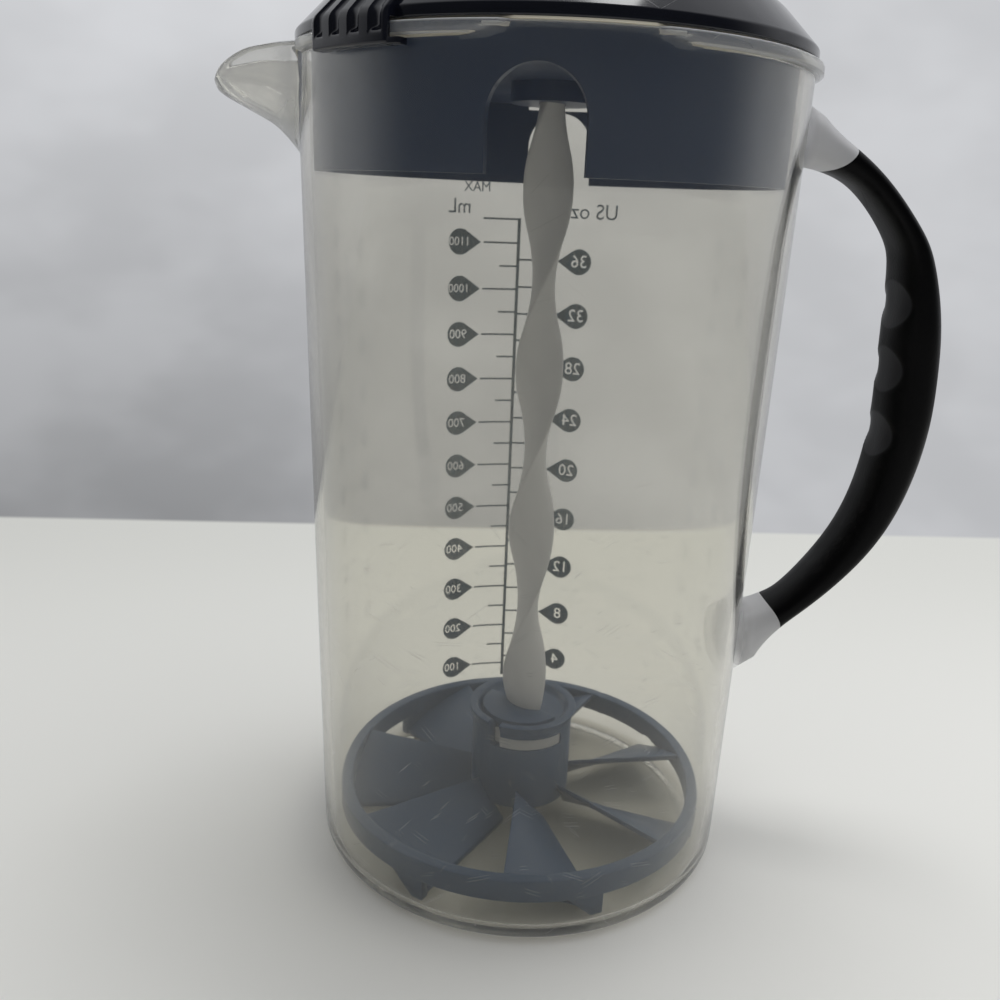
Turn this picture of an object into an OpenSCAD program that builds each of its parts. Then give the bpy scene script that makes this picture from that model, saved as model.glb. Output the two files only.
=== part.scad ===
// Mixing pitcher for baby formula: a clear jug, a bayonet lid with a pouring skirt,
// and a pumped, twisted shaft that spins a bladed wheel on the jug's floor.
// Frame: millimetres, origin at the centre of the base, +Z up, handle towards +X, spout towards -X.

/* [Jug] */
// Height of the rim above the table
jug_h = 183.3; // [165:0.1:205]
// Outer radius of the wall at the rim
jug_rim_r = 53.2; // [45:0.1:65]
// How much smaller the wall's outer radius is at the base than at the rim
jug_taper = 2.15; // [0.5:0.05:2.4]
// Thickness of the jug's wall
jug_wall = 2; // [1.4:0.1:2.2]
// Thickness of the jug's floor
jug_floor_t = 2.5; // [1.5:0.1:2.8]
// Radius of the outer corner round the base
jug_corner_r = 4; // [2:0.5:6]
// How far the rim bead stands out from the wall
bead_out = 1.5; // [1:0.1:2.5]
// Height of the rim bead
bead_h = 2.2; // [1.6:0.1:3]
// Angle of each notch in the rim bead, where a lug lifts out
notch_angle = 25.8; // [25:0.1:32]

/* [Spout] */
// How far the spout's tip reaches out from the wall
spout_reach = 17.8; // [14:0.1:22]
// Height of the spout where it leaves the wall
spout_h = 20.5; // [16:0.5:26]
// Width of the spout where it leaves the wall
spout_w = 35; // [28:0.5:36]
// Thickness of the spout's wall
spout_wall = 1.6; // [1.2:0.1:2]

/* [Handle] */
// How far the middle of the handle bar stands out from the wall
handle_reach = 34; // [28:0.5:42]
// Height between the two roots of the handle
handle_span = 118.5; // [100:0.5:130]
// Depth of the handle's upper root below the rim
handle_drop = 12; // [10:0.5:20]
// Width of the handle in the middle of the grip
grip_w = 17; // [14:0.5:22]
// Thickness of the handle in the middle of the grip
grip_t = 12; // [9:0.5:14]
// Thickness of the soft grip over the bar
grip_skin = 1.6; // [1.2:0.1:1.8]
// Radius of the round upper end of the bare bar
upper_end_r = 9; // [8:0.5:11]
// Radius of the round lower end of the bare bar
lower_end_r = 13; // [12:0.5:15]
// Depth of the three finger dishes in the grip
dish_depth = 0.9; // [0.5:0.1:1.2]
// Radius of the ball that each dish follows
dish_r = 12; // [9:0.5:16]

/* [Lid] */
// How far the lid's edge stands out past the jug's wall
lid_overhang = 0.2; // [0:0.05:0.6]
// Height of the lid's upright edge
lid_edge_h = 1.9; // [1.5:0.1:3]
// Height of the lid's flat top above its lower edge
lid_h = 12.5; // [11:0.5:16]
// Radius of the rounding between the lid's bevel and its top
lid_round_r = 16; // [10:0.5:20]
// Thickness of the lid's shell
lid_wall = 2; // [1.5:0.1:2.5]
// Thickness of the seal between rim and lid
seal_t = 0.45; // [0.3:0.05:1]
// Angle that a lug covers
lug_angle = 20.5; // [16:0.5:22]
// Thickness of a lug outside the bead
lug_t = 1.1; // [0.8:0.1:1.6]
// Depth of a lug below the bead
lug_drop = 1.6; // [1.2:0.1:2.4]
// Height of the hook that runs under the bead
hook_h = 1.1; // [0.8:0.1:1.2]
// Angle that the hook reaches past its lug
hook_angle = 2.5; // [1:0.5:3]
// Number of finger grooves in a lug
groove_n = 4; // [3:1:5]
// Width of a finger groove
groove_w = 2.2; // [1.2:0.1:2.6]
// Depth of a finger groove
groove_depth = 0.55; // [0.3:0.05:0.6]
// Direction of the first lug, seen from above
lug_dir = -135; // [-140:1:-130]

/* [Skirt] */
// Gap between the skirt and the jug's wall at the rim
skirt_gap = 1.2; // [1:0.1:1.7]
// Thickness of the skirt's wall
skirt_wall = 2; // [1.2:0.1:2.4]
// Depth of the skirt below the rim
skirt_depth = 23.3; // [20:0.1:30]
// Width of a pour window
window_w = 17.2; // [12:0.2:24]
// Height from the skirt's lower edge to the crown of a window
window_h = 17.6; // [13:0.2:18]
// Direction of the first window, seen from above
window_dir = 82.1; // [78:0.1:86]
// Thickness of the ceiling inside the skirt
ceiling_t = 2; // [1.2:0.1:2.4]
// Height of the vent slot over the back window
vent_h = 1.3; // [0.8:0.1:1.4]

/* [Shaft] */
// Width of the twisted strip
strip_w = 11.3; // [9:0.1:13]
// Thickness of the twisted strip
strip_t = 5.2; // [4:0.1:6.5]
// Height in which the strip makes one full turn
strip_pitch = 78.8; // [60:0.2:110]
// Direction of the strip's width at the height of the table
strip_dir = -7.7; // [-90:0.1:90]
// Radius of the shaft's foot plug
plug_r = 10.6; // [9:0.1:11]
// Height of the foot plug
plug_h = 14; // [10:0.5:16]
// Outer radius of the guide bush
guide_r = 9; // [8.5:0.1:10]
// Depth of the guide bush below the rim
guide_depth = 7.9; // [5:0.1:9]
// Radius of the guide's flange on the ceiling
guide_flange_r = 12; // [11:0.5:14]
// Thickness of the guide's flange
guide_flange_t = 2; // [1.5:0.1:3]

/* [Wheel] */
// Gap round the wheel's ring where it rises into the skirt
ring_gap = 1.1; // [0.8:0.1:3]
// Radial thickness of the ring
ring_wall = 2.9; // [2:0.1:4]
// Height of the ring
ring_h = 5.6; // [4:0.1:7]
// Gap between the wheel's feet and the jug's floor
foot_gap = 0.5; // [0.3:0.1:1.5]
// Height of the feet below the ring
foot_h = 5.5; // [4:0.1:7]
// Number of blades
blade_n = 7; // [5:1:8]
// Angle that a blade covers
blade_angle = 31.4; // [24:0.1:33]
// Slope of a blade
blade_slope = 25; // [20:0.5:28]
// Thickness of a blade
blade_t = 1.5; // [1.2:0.1:2]
// Direction of the first blade's upper edge
blade_dir = 0.2; // [-5:0.1:5]
// Angle that a foot covers
foot_angle = 9.5; // [6:0.5:12]
// Angle of a foot's flat sole
sole_angle = 2.8; // [2:0.1:4]

/* [Hub] */
// Thickness of the hub's wall
hub_wall = 2.1; // [1.6:0.1:2.6]
// Height of the hub above the top of the ring
hub_rise = 15; // [12:0.5:18]
// Thickness of the hub's roof over the plug
roof_t = 1.3; // [1:0.1:2]
// Height of the flared cup on top of the hub
cup_h = 3; // [2:0.1:5]
// How far the cup flares out
cup_flare = 1.1; // [0.5:0.1:2]
// Height of the bayonet slot
slot_h = 3.2; // [2.4:0.1:4]
// Direction in which the bayonet slot starts
slot_dir = -119; // [-125:1:-110]
// Angle that the bayonet slot covers
slot_angle = 83; // [60:1:100]
// Width of the bayonet slot's upright leg
leg_w = 3.2; // [2.4:0.1:4]

/* [Knob] */
// Radius of the knob's grip
knob_r = 22; // [18:0.5:28]
// Radius of the knob's neck
knob_neck_r = 14; // [13:0.5:16]
// Height of the knob
knob_h = 39.5; // [34:0.5:50]
// Thickness of the knob's floor under the shaft head
knob_floor_t = 4; // [3:0.5:6]
// Thickness of the knob's cap
cap_t = 4; // [3:0.5:5]
// Radius of the shaft head
head_r = 9; // [8:0.1:10]
// Height of the shaft head
head_h = 6; // [4:0.5:8]

/* [Fits] */
// Gap round a part that turns or slides on another
run_gap = 0.3; // [0.2:0.05:0.35]
// Gap round a part that is pressed or clipped into another
fit_gap = 0.1; // [0.05:0.05:0.2]
// Gap between the twisted strip and its slot
strip_gap = 0.25; // [0.2:0.05:0.4]

/* [Hidden] */
$fn = 96;

// Colours
clear_plastic = [0.80, 0.80, 0.76, 0.5];
slate = [0.27, 0.31, 0.37];
gloss_black = [0.05, 0.05, 0.07];
grip_black = [0.08, 0.08, 0.09];
cream = [0.88, 0.85, 0.76];
milky = [0.72, 0.72, 0.72];

// Overlap that joins cleanly
eps = 0.05;
// Reach of a cutter past the face that it cuts, and of one that opens upwards or outwards
over = 1;
clear = 10;

// Jug
jug_base_r = jug_rim_r - jug_taper;
taper = jug_taper / jug_h;
inner_base_r = jug_base_r - jug_wall;
inner_rim_r = jug_rim_r - jug_wall;
inner_corner_r = max(jug_corner_r - jug_wall, 1);
bead_r = jug_rim_r + bead_out;
bead_z = jug_h - bead_h;

// Lid
seat_lip = 0.5;
lid_r = jug_rim_r + lid_overhang;
skirt_r = inner_rim_r - skirt_gap;
lid_z = jug_h + seal_t;
lid_top_z = lid_z + lid_h;
bevel_z = lid_z + lid_edge_h;
round_z = lid_top_z - lid_round_r;
round_x = lid_r + bevel_z - round_z - 2 * lid_round_r * cos(45);
seat_z = lid_z + lid_edge_h + fit_gap;
seat_in_r = skirt_r - skirt_wall - seat_lip;
lug_in_r = bead_r + run_gap;
lug_out_r = lug_in_r + lug_t;
lug_z = bead_z - lug_drop;
hook_in_r = jug_rim_r + run_gap;

// Skirt and guide
vent_bridge = 0.4;
skirt_z = jug_h - skirt_depth;
skirt_in_r = skirt_r - skirt_wall;
window_z = skirt_z + window_h - window_w / 2;
vent_z = skirt_z + window_h + vent_bridge;
ceiling_z = vent_z + vent_h;
guide_z = jug_h - guide_depth;
flange_z = ceiling_z + ceiling_t;

// Wheel and shaft foot
foot_z = jug_floor_t + foot_gap;
ring_z = foot_z + foot_h;
ring_top_z = ring_z + ring_h;
ring_r = skirt_in_r - ring_gap;
ring_in_r = ring_r - ring_wall;
hub_in_r = plug_r + fit_gap;
hub_r = hub_in_r + hub_wall;
hub_z = ring_z;
hub_top_z = ring_top_z + hub_rise;
roof_z = hub_top_z + roof_t;
cup_top_z = hub_top_z + cup_h;
plug_top_z = hub_top_z - fit_gap;
plug_z = plug_top_z - plug_h;
slot_top_z = hub_top_z - 4 * fit_gap;
slot_z = slot_top_z - slot_h;
leg_rise = 0.2;
// Small steps that keep blades and feet off the faces of what they grow from
blade_inset = 0.2;
foot_inset = 0.2;
foot_lead = 0.4;

// Knob, and how far the strip goes into its plug and stops short of its head's top
strip_root = 1;
waist_r = 6;
waist_z = 12;
shoulder_r = knob_h * 0.2;
cap_r = head_r + 6;
cap_top_r = head_r + 3;
knob_z = lid_top_z + run_gap;
head_z = knob_z + knob_floor_t + run_gap;
cavity_r = head_r + run_gap;
cap_z = knob_z + knob_h - cap_t;
stem_z = head_z + head_h + run_gap;
strip_z = plug_top_z - strip_root;
strip_top_z = head_z + head_h - strip_root;

// Outline of the handle's centre line, from its lower root to its upper root. Each row gives
// the reach and the height as parts of the whole, then thickness and width as parts of the grip's.
handle_line = [
    [-0.08, -0.015, 1.30, 0.95],
    [0.265, 0.054, 0.62, 0.80],
    [0.460, 0.100, 0.57, 0.82],
    [0.850, 0.245, 0.80, 0.92],
    [1.000, 0.426, 0.95, 1.00],
    [1.000, 0.553, 1.00, 1.00],
    [0.972, 0.669, 0.93, 1.00],
    [0.903, 0.777, 0.66, 0.94],
    [0.815, 0.835, 0.50, 0.88],
    [0.571, 0.916, 0.47, 0.82],
    [0.315, 0.965, 0.57, 0.80],
    [-0.04, 1.005, 0.98, 0.95]
];
handle_steps = 4;
// Centres of the bare bar's round ends, as parts of the reach and of the height
upper_end_place = [0.14, 1.015];
lower_end_place = [-0.07, 0.002];
// Heights of the finger dishes, as parts of the handle's height
dish_places = [0.447, 0.581, 0.713];

// Outline of the spout, from inside the wall to its tip. Each row gives the reach, the drop of
// the keel and the drop of the lip below the rim as parts of the whole, and the width.
spout_line = [
    [-0.20, 1.18, 0.00, 1.08],
    [0.03, 1.00, 0.00, 1.00],
    [0.21, 0.76, 0.00, 0.74],
    [0.38, 0.65, 0.01, 0.57],
    [0.60, 0.56, 0.05, 0.41],
    [0.80, 0.48, 0.12, 0.28],
    [0.94, 0.42, 0.20, 0.18],
    [1.00, 0.35, 0.27, 0.10]
];
spout_steps = 12;
// How far past its tip the spout's channel is cut, as a part of the reach
spout_mouth = 0.1;

// ---- Shared geometry ----

// Outer radius of the jug's wall at a height
function wall_r(z) = jug_base_r + taper * z;

// Points on an arc in the plane
function arc(centre, radius, from, to, steps) =
    [for (i = [0:steps]) let (a = from + (to - from) * i / steps)
        [centre[0] + radius * cos(a), centre[1] + radius * sin(a)]];

// A point on the smooth curve through rows a, b, c and d, at t from b to c
function blend_rows(a, b, c, d, t) =
    0.5 * (2 * b + (c - a) * t + (2 * a - 5 * b + 4 * c - d) * t * t
        + (3 * b - a - 3 * c + d) * t * t * t);

// All rows of a list, with smooth steps between them
function smooth_rows(rows, steps) = let (last = len(rows) - 1)
    [for (i = [0:last - 1], k = [0:steps - (i == last - 1 ? 0 : 1)])
        blend_rows(rows[max(i - 1, 0)], rows[i], rows[i + 1], rows[min(i + 2, last)], k / steps)];

// Faces of a closed skin over rings of equal point counts, in triangles
function skin_faces(rings, points) = concat(
    [for (i = [0:rings - 2], k = [0:points - 1]) let (n = (k + 1) % points)
        [i * points + k, (i + 1) * points + n, i * points + n]],
    [for (i = [0:rings - 2], k = [0:points - 1]) let (n = (k + 1) % points)
        [i * points + k, (i + 1) * points + k, (i + 1) * points + n]],
    [for (k = [1:points - 2]) [0, k, k + 1]],
    [for (k = [1:points - 2]) let (n = (rings - 1) * points) [n, n + k + 1, n + k]]
);

// A solid through rings of points
module skin(ring_list) {
    ring_points = len(ring_list[0]);
    polyhedron([for (ring = ring_list) each ring], skin_faces(len(ring_list), ring_points));
}

// A sector of a ring, from one radius to another
module sector(from, angle, in_r, out_r, z, height) {
    translate([0, 0, z])
        rotate([0, 0, from])
            rotate_extrude(angle = angle)
                translate([in_r, 0])
                    square([out_r - in_r, height]);
}

// ---- Jug ----

// Section of the jug's outside or inside, up to a height above its rim
module jug_section(base_r, rim_r, corner_r, z, above) {
    slope = (rim_r - base_r) / jug_h;
    top_z = jug_h + above;
    polygon(concat(
        [[0, z]],
        arc([base_r - corner_r, z + corner_r], corner_r, -90, 0, 8),
        [[rim_r + slope * above, top_z], [0, top_z]]
    ));
}

module jug_outside() {
    rotate_extrude()
        jug_section(jug_base_r, jug_rim_r, jug_corner_r, 0, 0);
}

module jug_inside() {
    rotate_extrude()
        jug_section(inner_base_r, inner_rim_r, inner_corner_r, jug_floor_t, clear);
}

// Bead round the rim, in two halves with a notch between them on each side
module rim_bead() {
    for (side = [-90, 90])
        sector(side + notch_angle / 2, 180 - notch_angle, jug_rim_r - jug_wall / 2, bead_r, bead_z, bead_h);
}

// One section of the spout: a half ellipse under the lip, and straight sides up to rise above it
function spout_ring(row, wall, rise) = let (
    x = -jug_rim_r - spout_reach * row[0],
    lip_z = jug_h - spout_h * row[2],
    keel_z = jug_h - spout_h * row[1] + wall,
    half_w = max(spout_w / 2 * row[3] - wall, 0.4)
) concat(
    [[x, half_w, lip_z + rise]],
    [for (k = [1:spout_steps - 1]) let (a = 180 * k / spout_steps)
        [x, half_w * cos(a), lip_z - (lip_z - keel_z) * sin(a)]],
    [[x, -half_w, lip_z + rise]]
);

module spout_outside() {
    skin([for (row = smooth_rows(spout_line, 2)) spout_ring(row, 0, 0)]);
}

module spout_channel() {
    rows = smooth_rows(spout_line, 2);
    tip = rows[len(rows) - 1];
    through = [[tip[0] + spout_mouth, tip[1], tip[2], tip[3]]];
    skin([for (row = concat(rows, through)) spout_ring(row, spout_wall, clear)]);
}

// ---- Handle ----

// Centre, thickness and width of the handle for one row of its outline
function handle_centre(row) = [
    jug_rim_r + handle_reach * row[0],
    jug_h - handle_drop - handle_span * (1 - row[1])
];

// Direction of the centre line at ring i
function handle_dir(rows, i) = let (
    a = handle_centre(rows[max(i - 1, 0)]),
    b = handle_centre(rows[min(i + 1, len(rows) - 1)])
) atan2(b[1] - a[1], b[0] - a[0]);

// One section of the handle: a rounded rectangle, smaller by inset all round
function handle_ring(rows, i, inset, sides) = let (
    c = handle_centre(rows[i]),
    dir = handle_dir(rows, i),
    half_t = grip_t * rows[i][2] / 2 - inset,
    half_w = grip_w * rows[i][3] / 2 - inset
) [for (k = [0:sides - 1]) let (
    a = 360 * k / sides,
    u = half_t * sign(cos(a)) * pow(abs(cos(a)), 0.8),
    v = half_w * sign(sin(a)) * pow(abs(sin(a)), 0.8)
) [c[0] + u * sin(dir), v, c[1] - u * cos(dir)]];

// The handle from row first to row last of its outline
module handle_bar(inset, sides, steps, first, last) {
    part = [for (i = [first:last]) handle_line[i]];
    rows = smooth_rows(part, steps);
    skin([for (i = [0:len(rows) - 1]) handle_ring(rows, i, inset, sides)]);
}

// One round end of the bare bar, with everything between it and the jug
module handle_end(place, radius) {
    centre = handle_centre(place);
    translate([centre[0], 0, centre[1]])
        rotate([90, 0, 0])
            cylinder(h = 2 * grip_w, r = radius, center = true);
    translate([centre[0] - 2 * radius, -grip_w, centre[1] - 1.5 * radius])
        cube([2 * radius, 2 * grip_w, 3 * radius]);
}

module handle_ends(gap) {
    handle_end(upper_end_place, upper_end_r + gap);
    handle_end(lower_end_place, lower_end_r + gap);
}

module jug_body() {
    color(clear_plastic)
        difference() {
            union() {
                jug_outside();
                rim_bead();
                spout_outside();
                intersection() {
                    handle_bar(0, 24, handle_steps, 0, len(handle_line) - 1);
                    handle_ends(0);
                }
                handle_bar(grip_skin, 16, 2, 0, len(handle_line) - 1);
            }
            jug_inside();
            spout_channel();
        }
}

module handle_grip() {
    color(grip_black)
        difference() {
            handle_bar(0, 24, handle_steps, 0, len(handle_line) - 1);
            handle_ends(fit_gap);
            handle_bar(grip_skin - fit_gap, 16, 2, 0, len(handle_line) - 1);
            for (place = dish_places) {
                z = jug_h - handle_drop - handle_span * (1 - place);
                translate([jug_rim_r + handle_reach - grip_t / 2 - dish_r + dish_depth, 0, z])
                    sphere(r = dish_r);
            }
        }
}

// ---- Lid ----

// Section of the lid's shell: upright edge, bevel, rounding and flat top
module lid_section() {
    round_in_r = lid_round_r - lid_wall;
    bevel_in = lid_r + bevel_z - lid_wall / cos(45);
    polygon(concat(
        [[skirt_r + fit_gap, lid_z], [lid_r, lid_z], [lid_r, bevel_z]],
        arc([round_x, round_z], lid_round_r, 45, 90, 10),
        [[0, lid_top_z], [0, lid_top_z - lid_wall]],
        arc([round_x, round_z], round_in_r, 90, 45, 10),
        [[seat_in_r, bevel_in - seat_in_r], [seat_in_r, seat_z], [skirt_r + fit_gap, seat_z]]
    ));
}

// A ribbed lug that wraps the rim bead, with the hook that runs under it
module lug(dir) {
    difference() {
        union() {
            intersection() {
                difference() {
                    translate([0, 0, lug_z])
                        cylinder(h = bevel_z - lug_z, r = lug_out_r);
                    translate([0, 0, lug_z - over])
                        cylinder(h = lid_z - lug_z + over, r = lug_in_r);
                    translate([0, 0, lid_z - eps])
                        cylinder(h = lid_h, r = lid_r - over);
                }
                sector(dir - lug_angle / 2, lug_angle, lid_r - clear, lug_out_r + clear,
                    lug_z - over, lid_h + clear);
            }
            intersection() {
                difference() {
                    translate([0, 0, lug_z])
                        cylinder(h = hook_h, r = lug_in_r + eps);
                    translate([0, 0, lug_z - over])
                        cylinder(h = hook_h + 2 * over, r = hook_in_r);
                }
                sector(dir - lug_angle / 2, lug_angle + hook_angle, lid_r - clear, lug_out_r + clear,
                    lug_z - over, clear);
            }
        }
        for (i = [0:groove_n - 1]) {
            a = dir + lug_angle * ((i + 0.5) / groove_n - 0.5);
            rotate([0, 0, a])
                translate([lug_out_r - groove_depth + groove_w / 2, 0, lug_z - over])
                    cylinder(h = lid_h + clear, r = groove_w / 2);
        }
    }
}

module lid_cap() {
    color(gloss_black)
        difference() {
            union() {
                rotate_extrude()
                    lid_section();
                lug(lug_dir);
                lug(lug_dir + 180);
            }
            translate([0, 0, lid_top_z - lid_h])
                cylinder(h = 2 * lid_h, r = guide_r + fit_gap);
        }
}

module lid_seal() {
    color(cream)
        translate([0, 0, jug_h])
            difference() {
                cylinder(h = seal_t, r = lid_r - fit_gap);
                translate([0, 0, -over])
                    cylinder(h = seal_t + 2 * over, r = skirt_r + fit_gap);
            }
}

// Arched window through the skirt's wall, open at the bottom
module pour_window(dir) {
    rotate([0, 0, dir])
        translate([skirt_in_r - clear / 2, 0, 0]) {
            translate([0, 0, window_z])
                rotate([0, 90, 0])
                    cylinder(h = skirt_wall + clear, r = window_w / 2);
            translate([0, -window_w / 2, skirt_z - over])
                cube([skirt_wall + clear, window_w, window_z - skirt_z + over]);
        }
}

module lid_skirt() {
    color(slate)
        difference() {
            union() {
                difference() {
                    translate([0, 0, skirt_z])
                        cylinder(h = seat_z - skirt_z, r = skirt_r);
                    translate([0, 0, skirt_z - over])
                        cylinder(h = seat_z - skirt_z + 2 * over, r = skirt_in_r);
                }
                translate([0, 0, ceiling_z])
                    cylinder(h = ceiling_t, r = skirt_in_r + eps);
            }
            pour_window(window_dir);
            pour_window(window_dir + 180);
            rotate([0, 0, window_dir])
                translate([skirt_in_r - clear / 2, -window_w / 2, vent_z])
                    cube([skirt_wall + clear, window_w, vent_h]);
            translate([0, 0, ceiling_z - over])
                cylinder(h = ceiling_t + 2 * over, r = guide_r + fit_gap);
        }
}

// ---- Shaft ----

// Direction of the strip's width at a height
function strip_angle(z) = strip_dir + 360 * z / strip_pitch;

// Lens-shaped section of the strip, grown by gap
module strip_section(gap) {
    half_w = strip_w / 2 + gap;
    half_t = strip_t / 2 + gap;
    lens_r = (half_w * half_w + half_t * half_t) / (2 * half_t);
    lens_a = asin(half_w / lens_r);
    top = arc([0, half_t - lens_r], lens_r, 90 - lens_a, 90 + lens_a, 10);
    bottom = arc([0, lens_r - half_t], lens_r, 270 - lens_a, 270 + lens_a, 10);
    polygon(concat(
        [for (i = [0:9]) top[i]],
        [for (i = [0:9]) bottom[i]]
    ));
}

// The twisted strip between two heights
module twisted_strip(from_z, to_z, gap) {
    height = to_z - from_z;
    translate([0, 0, from_z])
        rotate([0, 0, strip_angle(from_z)])
            linear_extrude(height = height, twist = -360 * height / strip_pitch,
                slices = ceil(height / 2), $fn = 20)
                strip_section(gap);
}

module shaft_guide() {
    color(slate)
        difference() {
            union() {
                translate([0, 0, guide_z])
                    cylinder(h = lid_top_z - guide_z, r = guide_r);
                translate([0, 0, flange_z])
                    cylinder(h = guide_flange_t, r = guide_flange_r);
            }
            twisted_strip(guide_z - over, lid_top_z + over, strip_gap);
        }
}

module mixing_shaft() {
    color(milky) {
        translate([0, 0, plug_z])
            cylinder(h = plug_h, r = plug_r);
        twisted_strip(strip_z, strip_top_z, 0);
    }
}

// Disc on the strip's top end, which turns inside the knob
module shaft_head() {
    color(milky)
        difference() {
            translate([0, 0, head_z])
                cylinder(h = head_h, r = head_r);
            twisted_strip(head_z - over, strip_top_z + fit_gap, fit_gap);
        }
}

// ---- Wheel ----

// A blade: a flat plate that slopes down from a radial upper edge
module blade(dir) {
    intersection() {
        sector(dir, blade_angle, hub_r - hub_wall / 2, ring_r - ring_wall / 2,
            foot_z + blade_inset, ring_h + foot_h);
        translate([0, 0, ring_top_z - blade_inset])
            rotate([0, 0, dir])
                rotate([-blade_slope, 0, 0])
                    translate([0, -ring_r, -blade_t])
                        cube([ring_r, 2 * ring_r, blade_t]);
    }
}

// A foot under the ring at a blade's lower edge: a ramp, a flat sole and an upright face
module foot(dir) {
    foot_len = ring_r * tan(foot_angle);
    sole_len = ring_r * tan(sole_angle);
    root = ring_h / 4;
    ramp_len = sole_len + (foot_len - sole_len) * (foot_h + 2 * root) / foot_h;
    intersection() {
        sector(dir - 2 * foot_angle, 3 * foot_angle, ring_in_r + foot_inset, ring_r - foot_inset,
            foot_z - over, foot_h + over + root);
        rotate([0, 0, dir])
            translate([0, 0, ring_z])
                rotate([90, 0, 90])
                    linear_extrude(height = 2 * ring_r)
                        polygon([[0, 2 * root], [0, -foot_h], [-sole_len, -foot_h], [-ramp_len, 2 * root]]);
    }
}

// Slot that locks the hub on the shaft's plug: a level arc with an upright leg at its start
module bayonet_slot() {
    out_r = hub_r + cup_flare + 2 * over;
    leg_angle = leg_w / hub_r * 180 / PI;
    sector(slot_dir - leg_angle / 2, slot_angle, hub_in_r - over, out_r, slot_z, slot_h);
    sector(slot_dir - leg_angle, leg_angle, hub_in_r - over / 2, out_r,
        slot_z + leg_rise, cup_top_z - slot_z);
}

module hub() {
    difference() {
        union() {
            translate([0, 0, hub_z])
                cylinder(h = hub_top_z - hub_z, r = hub_r);
            translate([0, 0, hub_top_z])
                cylinder(h = cup_h, r1 = hub_r, r2 = hub_r + cup_flare);
        }
        translate([0, 0, hub_z - over])
            cylinder(h = hub_top_z - hub_z + over, r = hub_in_r);
        translate([0, 0, roof_z])
            cylinder(h = cup_h, r1 = hub_in_r, r2 = hub_in_r + cup_flare);
        twisted_strip(hub_top_z - over, cup_top_z, fit_gap);
        bayonet_slot();
    }
}

module mixing_wheel() {
    color(slate)
        union() {
            translate([0, 0, ring_z])
                difference() {
                    cylinder(h = ring_h, r = ring_r);
                    translate([0, 0, -over])
                        cylinder(h = ring_h + 2 * over, r = ring_in_r);
                }
            hub();
            for (i = [0:blade_n - 1]) {
                dir = blade_dir + 360 * i / blade_n;
                blade(dir);
                foot(dir + blade_angle + foot_lead);
            }
        }
}

// ---- Knob ----

// Section of the knob's outside: neck, waist, grip and rounded shoulder
module knob_section() {
    top_z = knob_h - cap_t;
    polygon(concat(
        [[0, 0], [knob_neck_r, 0]],
        arc([knob_neck_r + waist_r, waist_z], waist_r, 180, 120, 5),
        arc([knob_r - shoulder_r, top_z - shoulder_r], shoulder_r, 0, 60, 6),
        [[cap_r, top_z], [0, top_z]]
    ));
}

module plunger_knob() {
    color(grip_black)
        translate([0, 0, knob_z])
            difference() {
                rotate_extrude()
                    knob_section();
                translate([0, 0, -over])
                    cylinder(h = knob_floor_t + 2 * over, r = strip_w / 2 + run_gap);
                translate([0, 0, knob_floor_t])
                    cylinder(h = knob_h, r = cavity_r);
            }
}

// Cap that closes the knob, with the stem that keeps the shaft head down
module knob_cap() {
    color(gloss_black) {
        translate([0, 0, cap_z])
            cylinder(h = cap_t, r1 = cap_r, r2 = cap_top_r);
        translate([0, 0, stem_z])
            cylinder(h = cap_z + eps - stem_z, r = cavity_r - fit_gap);
    }
}

jug_body();
handle_grip();
lid_cap();
lid_skirt();
lid_seal();
shaft_guide();
mixing_shaft();
mixing_wheel();
shaft_head();
plunger_knob();
knob_cap();
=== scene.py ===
"""Dresses a mixing pitcher for baby formula: a clear jug, a black bayonet lid, a twisted shaft and a
bladed wheel. Sizes here are millimetres until a mesh is made. The handle points to +X, the spout to -X."""
from math import acos, asin, atan2, copysign, cos, degrees, hypot, pi, radians, sin, sqrt
import bpy
import bmesh
import numpy as np
from mathutils import Matrix, Vector


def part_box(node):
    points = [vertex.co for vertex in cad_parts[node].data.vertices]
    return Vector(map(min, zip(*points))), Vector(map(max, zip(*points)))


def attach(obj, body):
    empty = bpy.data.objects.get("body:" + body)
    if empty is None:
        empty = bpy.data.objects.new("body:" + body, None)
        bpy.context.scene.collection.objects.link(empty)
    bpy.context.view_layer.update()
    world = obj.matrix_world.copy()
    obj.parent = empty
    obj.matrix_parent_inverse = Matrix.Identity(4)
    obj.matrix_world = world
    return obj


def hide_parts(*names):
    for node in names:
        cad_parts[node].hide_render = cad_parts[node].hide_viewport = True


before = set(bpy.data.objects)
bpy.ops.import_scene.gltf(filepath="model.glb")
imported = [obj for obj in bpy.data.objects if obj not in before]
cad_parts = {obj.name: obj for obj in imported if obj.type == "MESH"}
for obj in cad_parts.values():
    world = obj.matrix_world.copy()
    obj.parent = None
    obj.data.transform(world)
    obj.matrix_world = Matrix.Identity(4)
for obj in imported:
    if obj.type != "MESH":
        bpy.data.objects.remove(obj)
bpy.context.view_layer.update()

MM = 0.001


def corners_of(node):
    """Lowest and highest corner of a CAD node, in millimetres."""
    low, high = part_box(node)
    return low / MM, high / MM


# ---- Sizes ----

FIT = 0.1  # Gap between pieces that sit in each other
DIAGONAL = sqrt(0.5)

# Jug: taper, walls and the section of its underside
RIM_Z = corners_of("jug_body")[1].z
RIM_R = 53.2
BASE_R = 51.05
JUG_WALL = 2.0
JUG_FLOOR = 2.5
CORNER_R = 4.0
FLOOR_ROUND_R = 3.0
UNDERSIDE = [(0, 0.8), (20, 0.8), (41.5, 0.8), (43.5, 0.55), (45, 0.1), (46, 0)]

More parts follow.
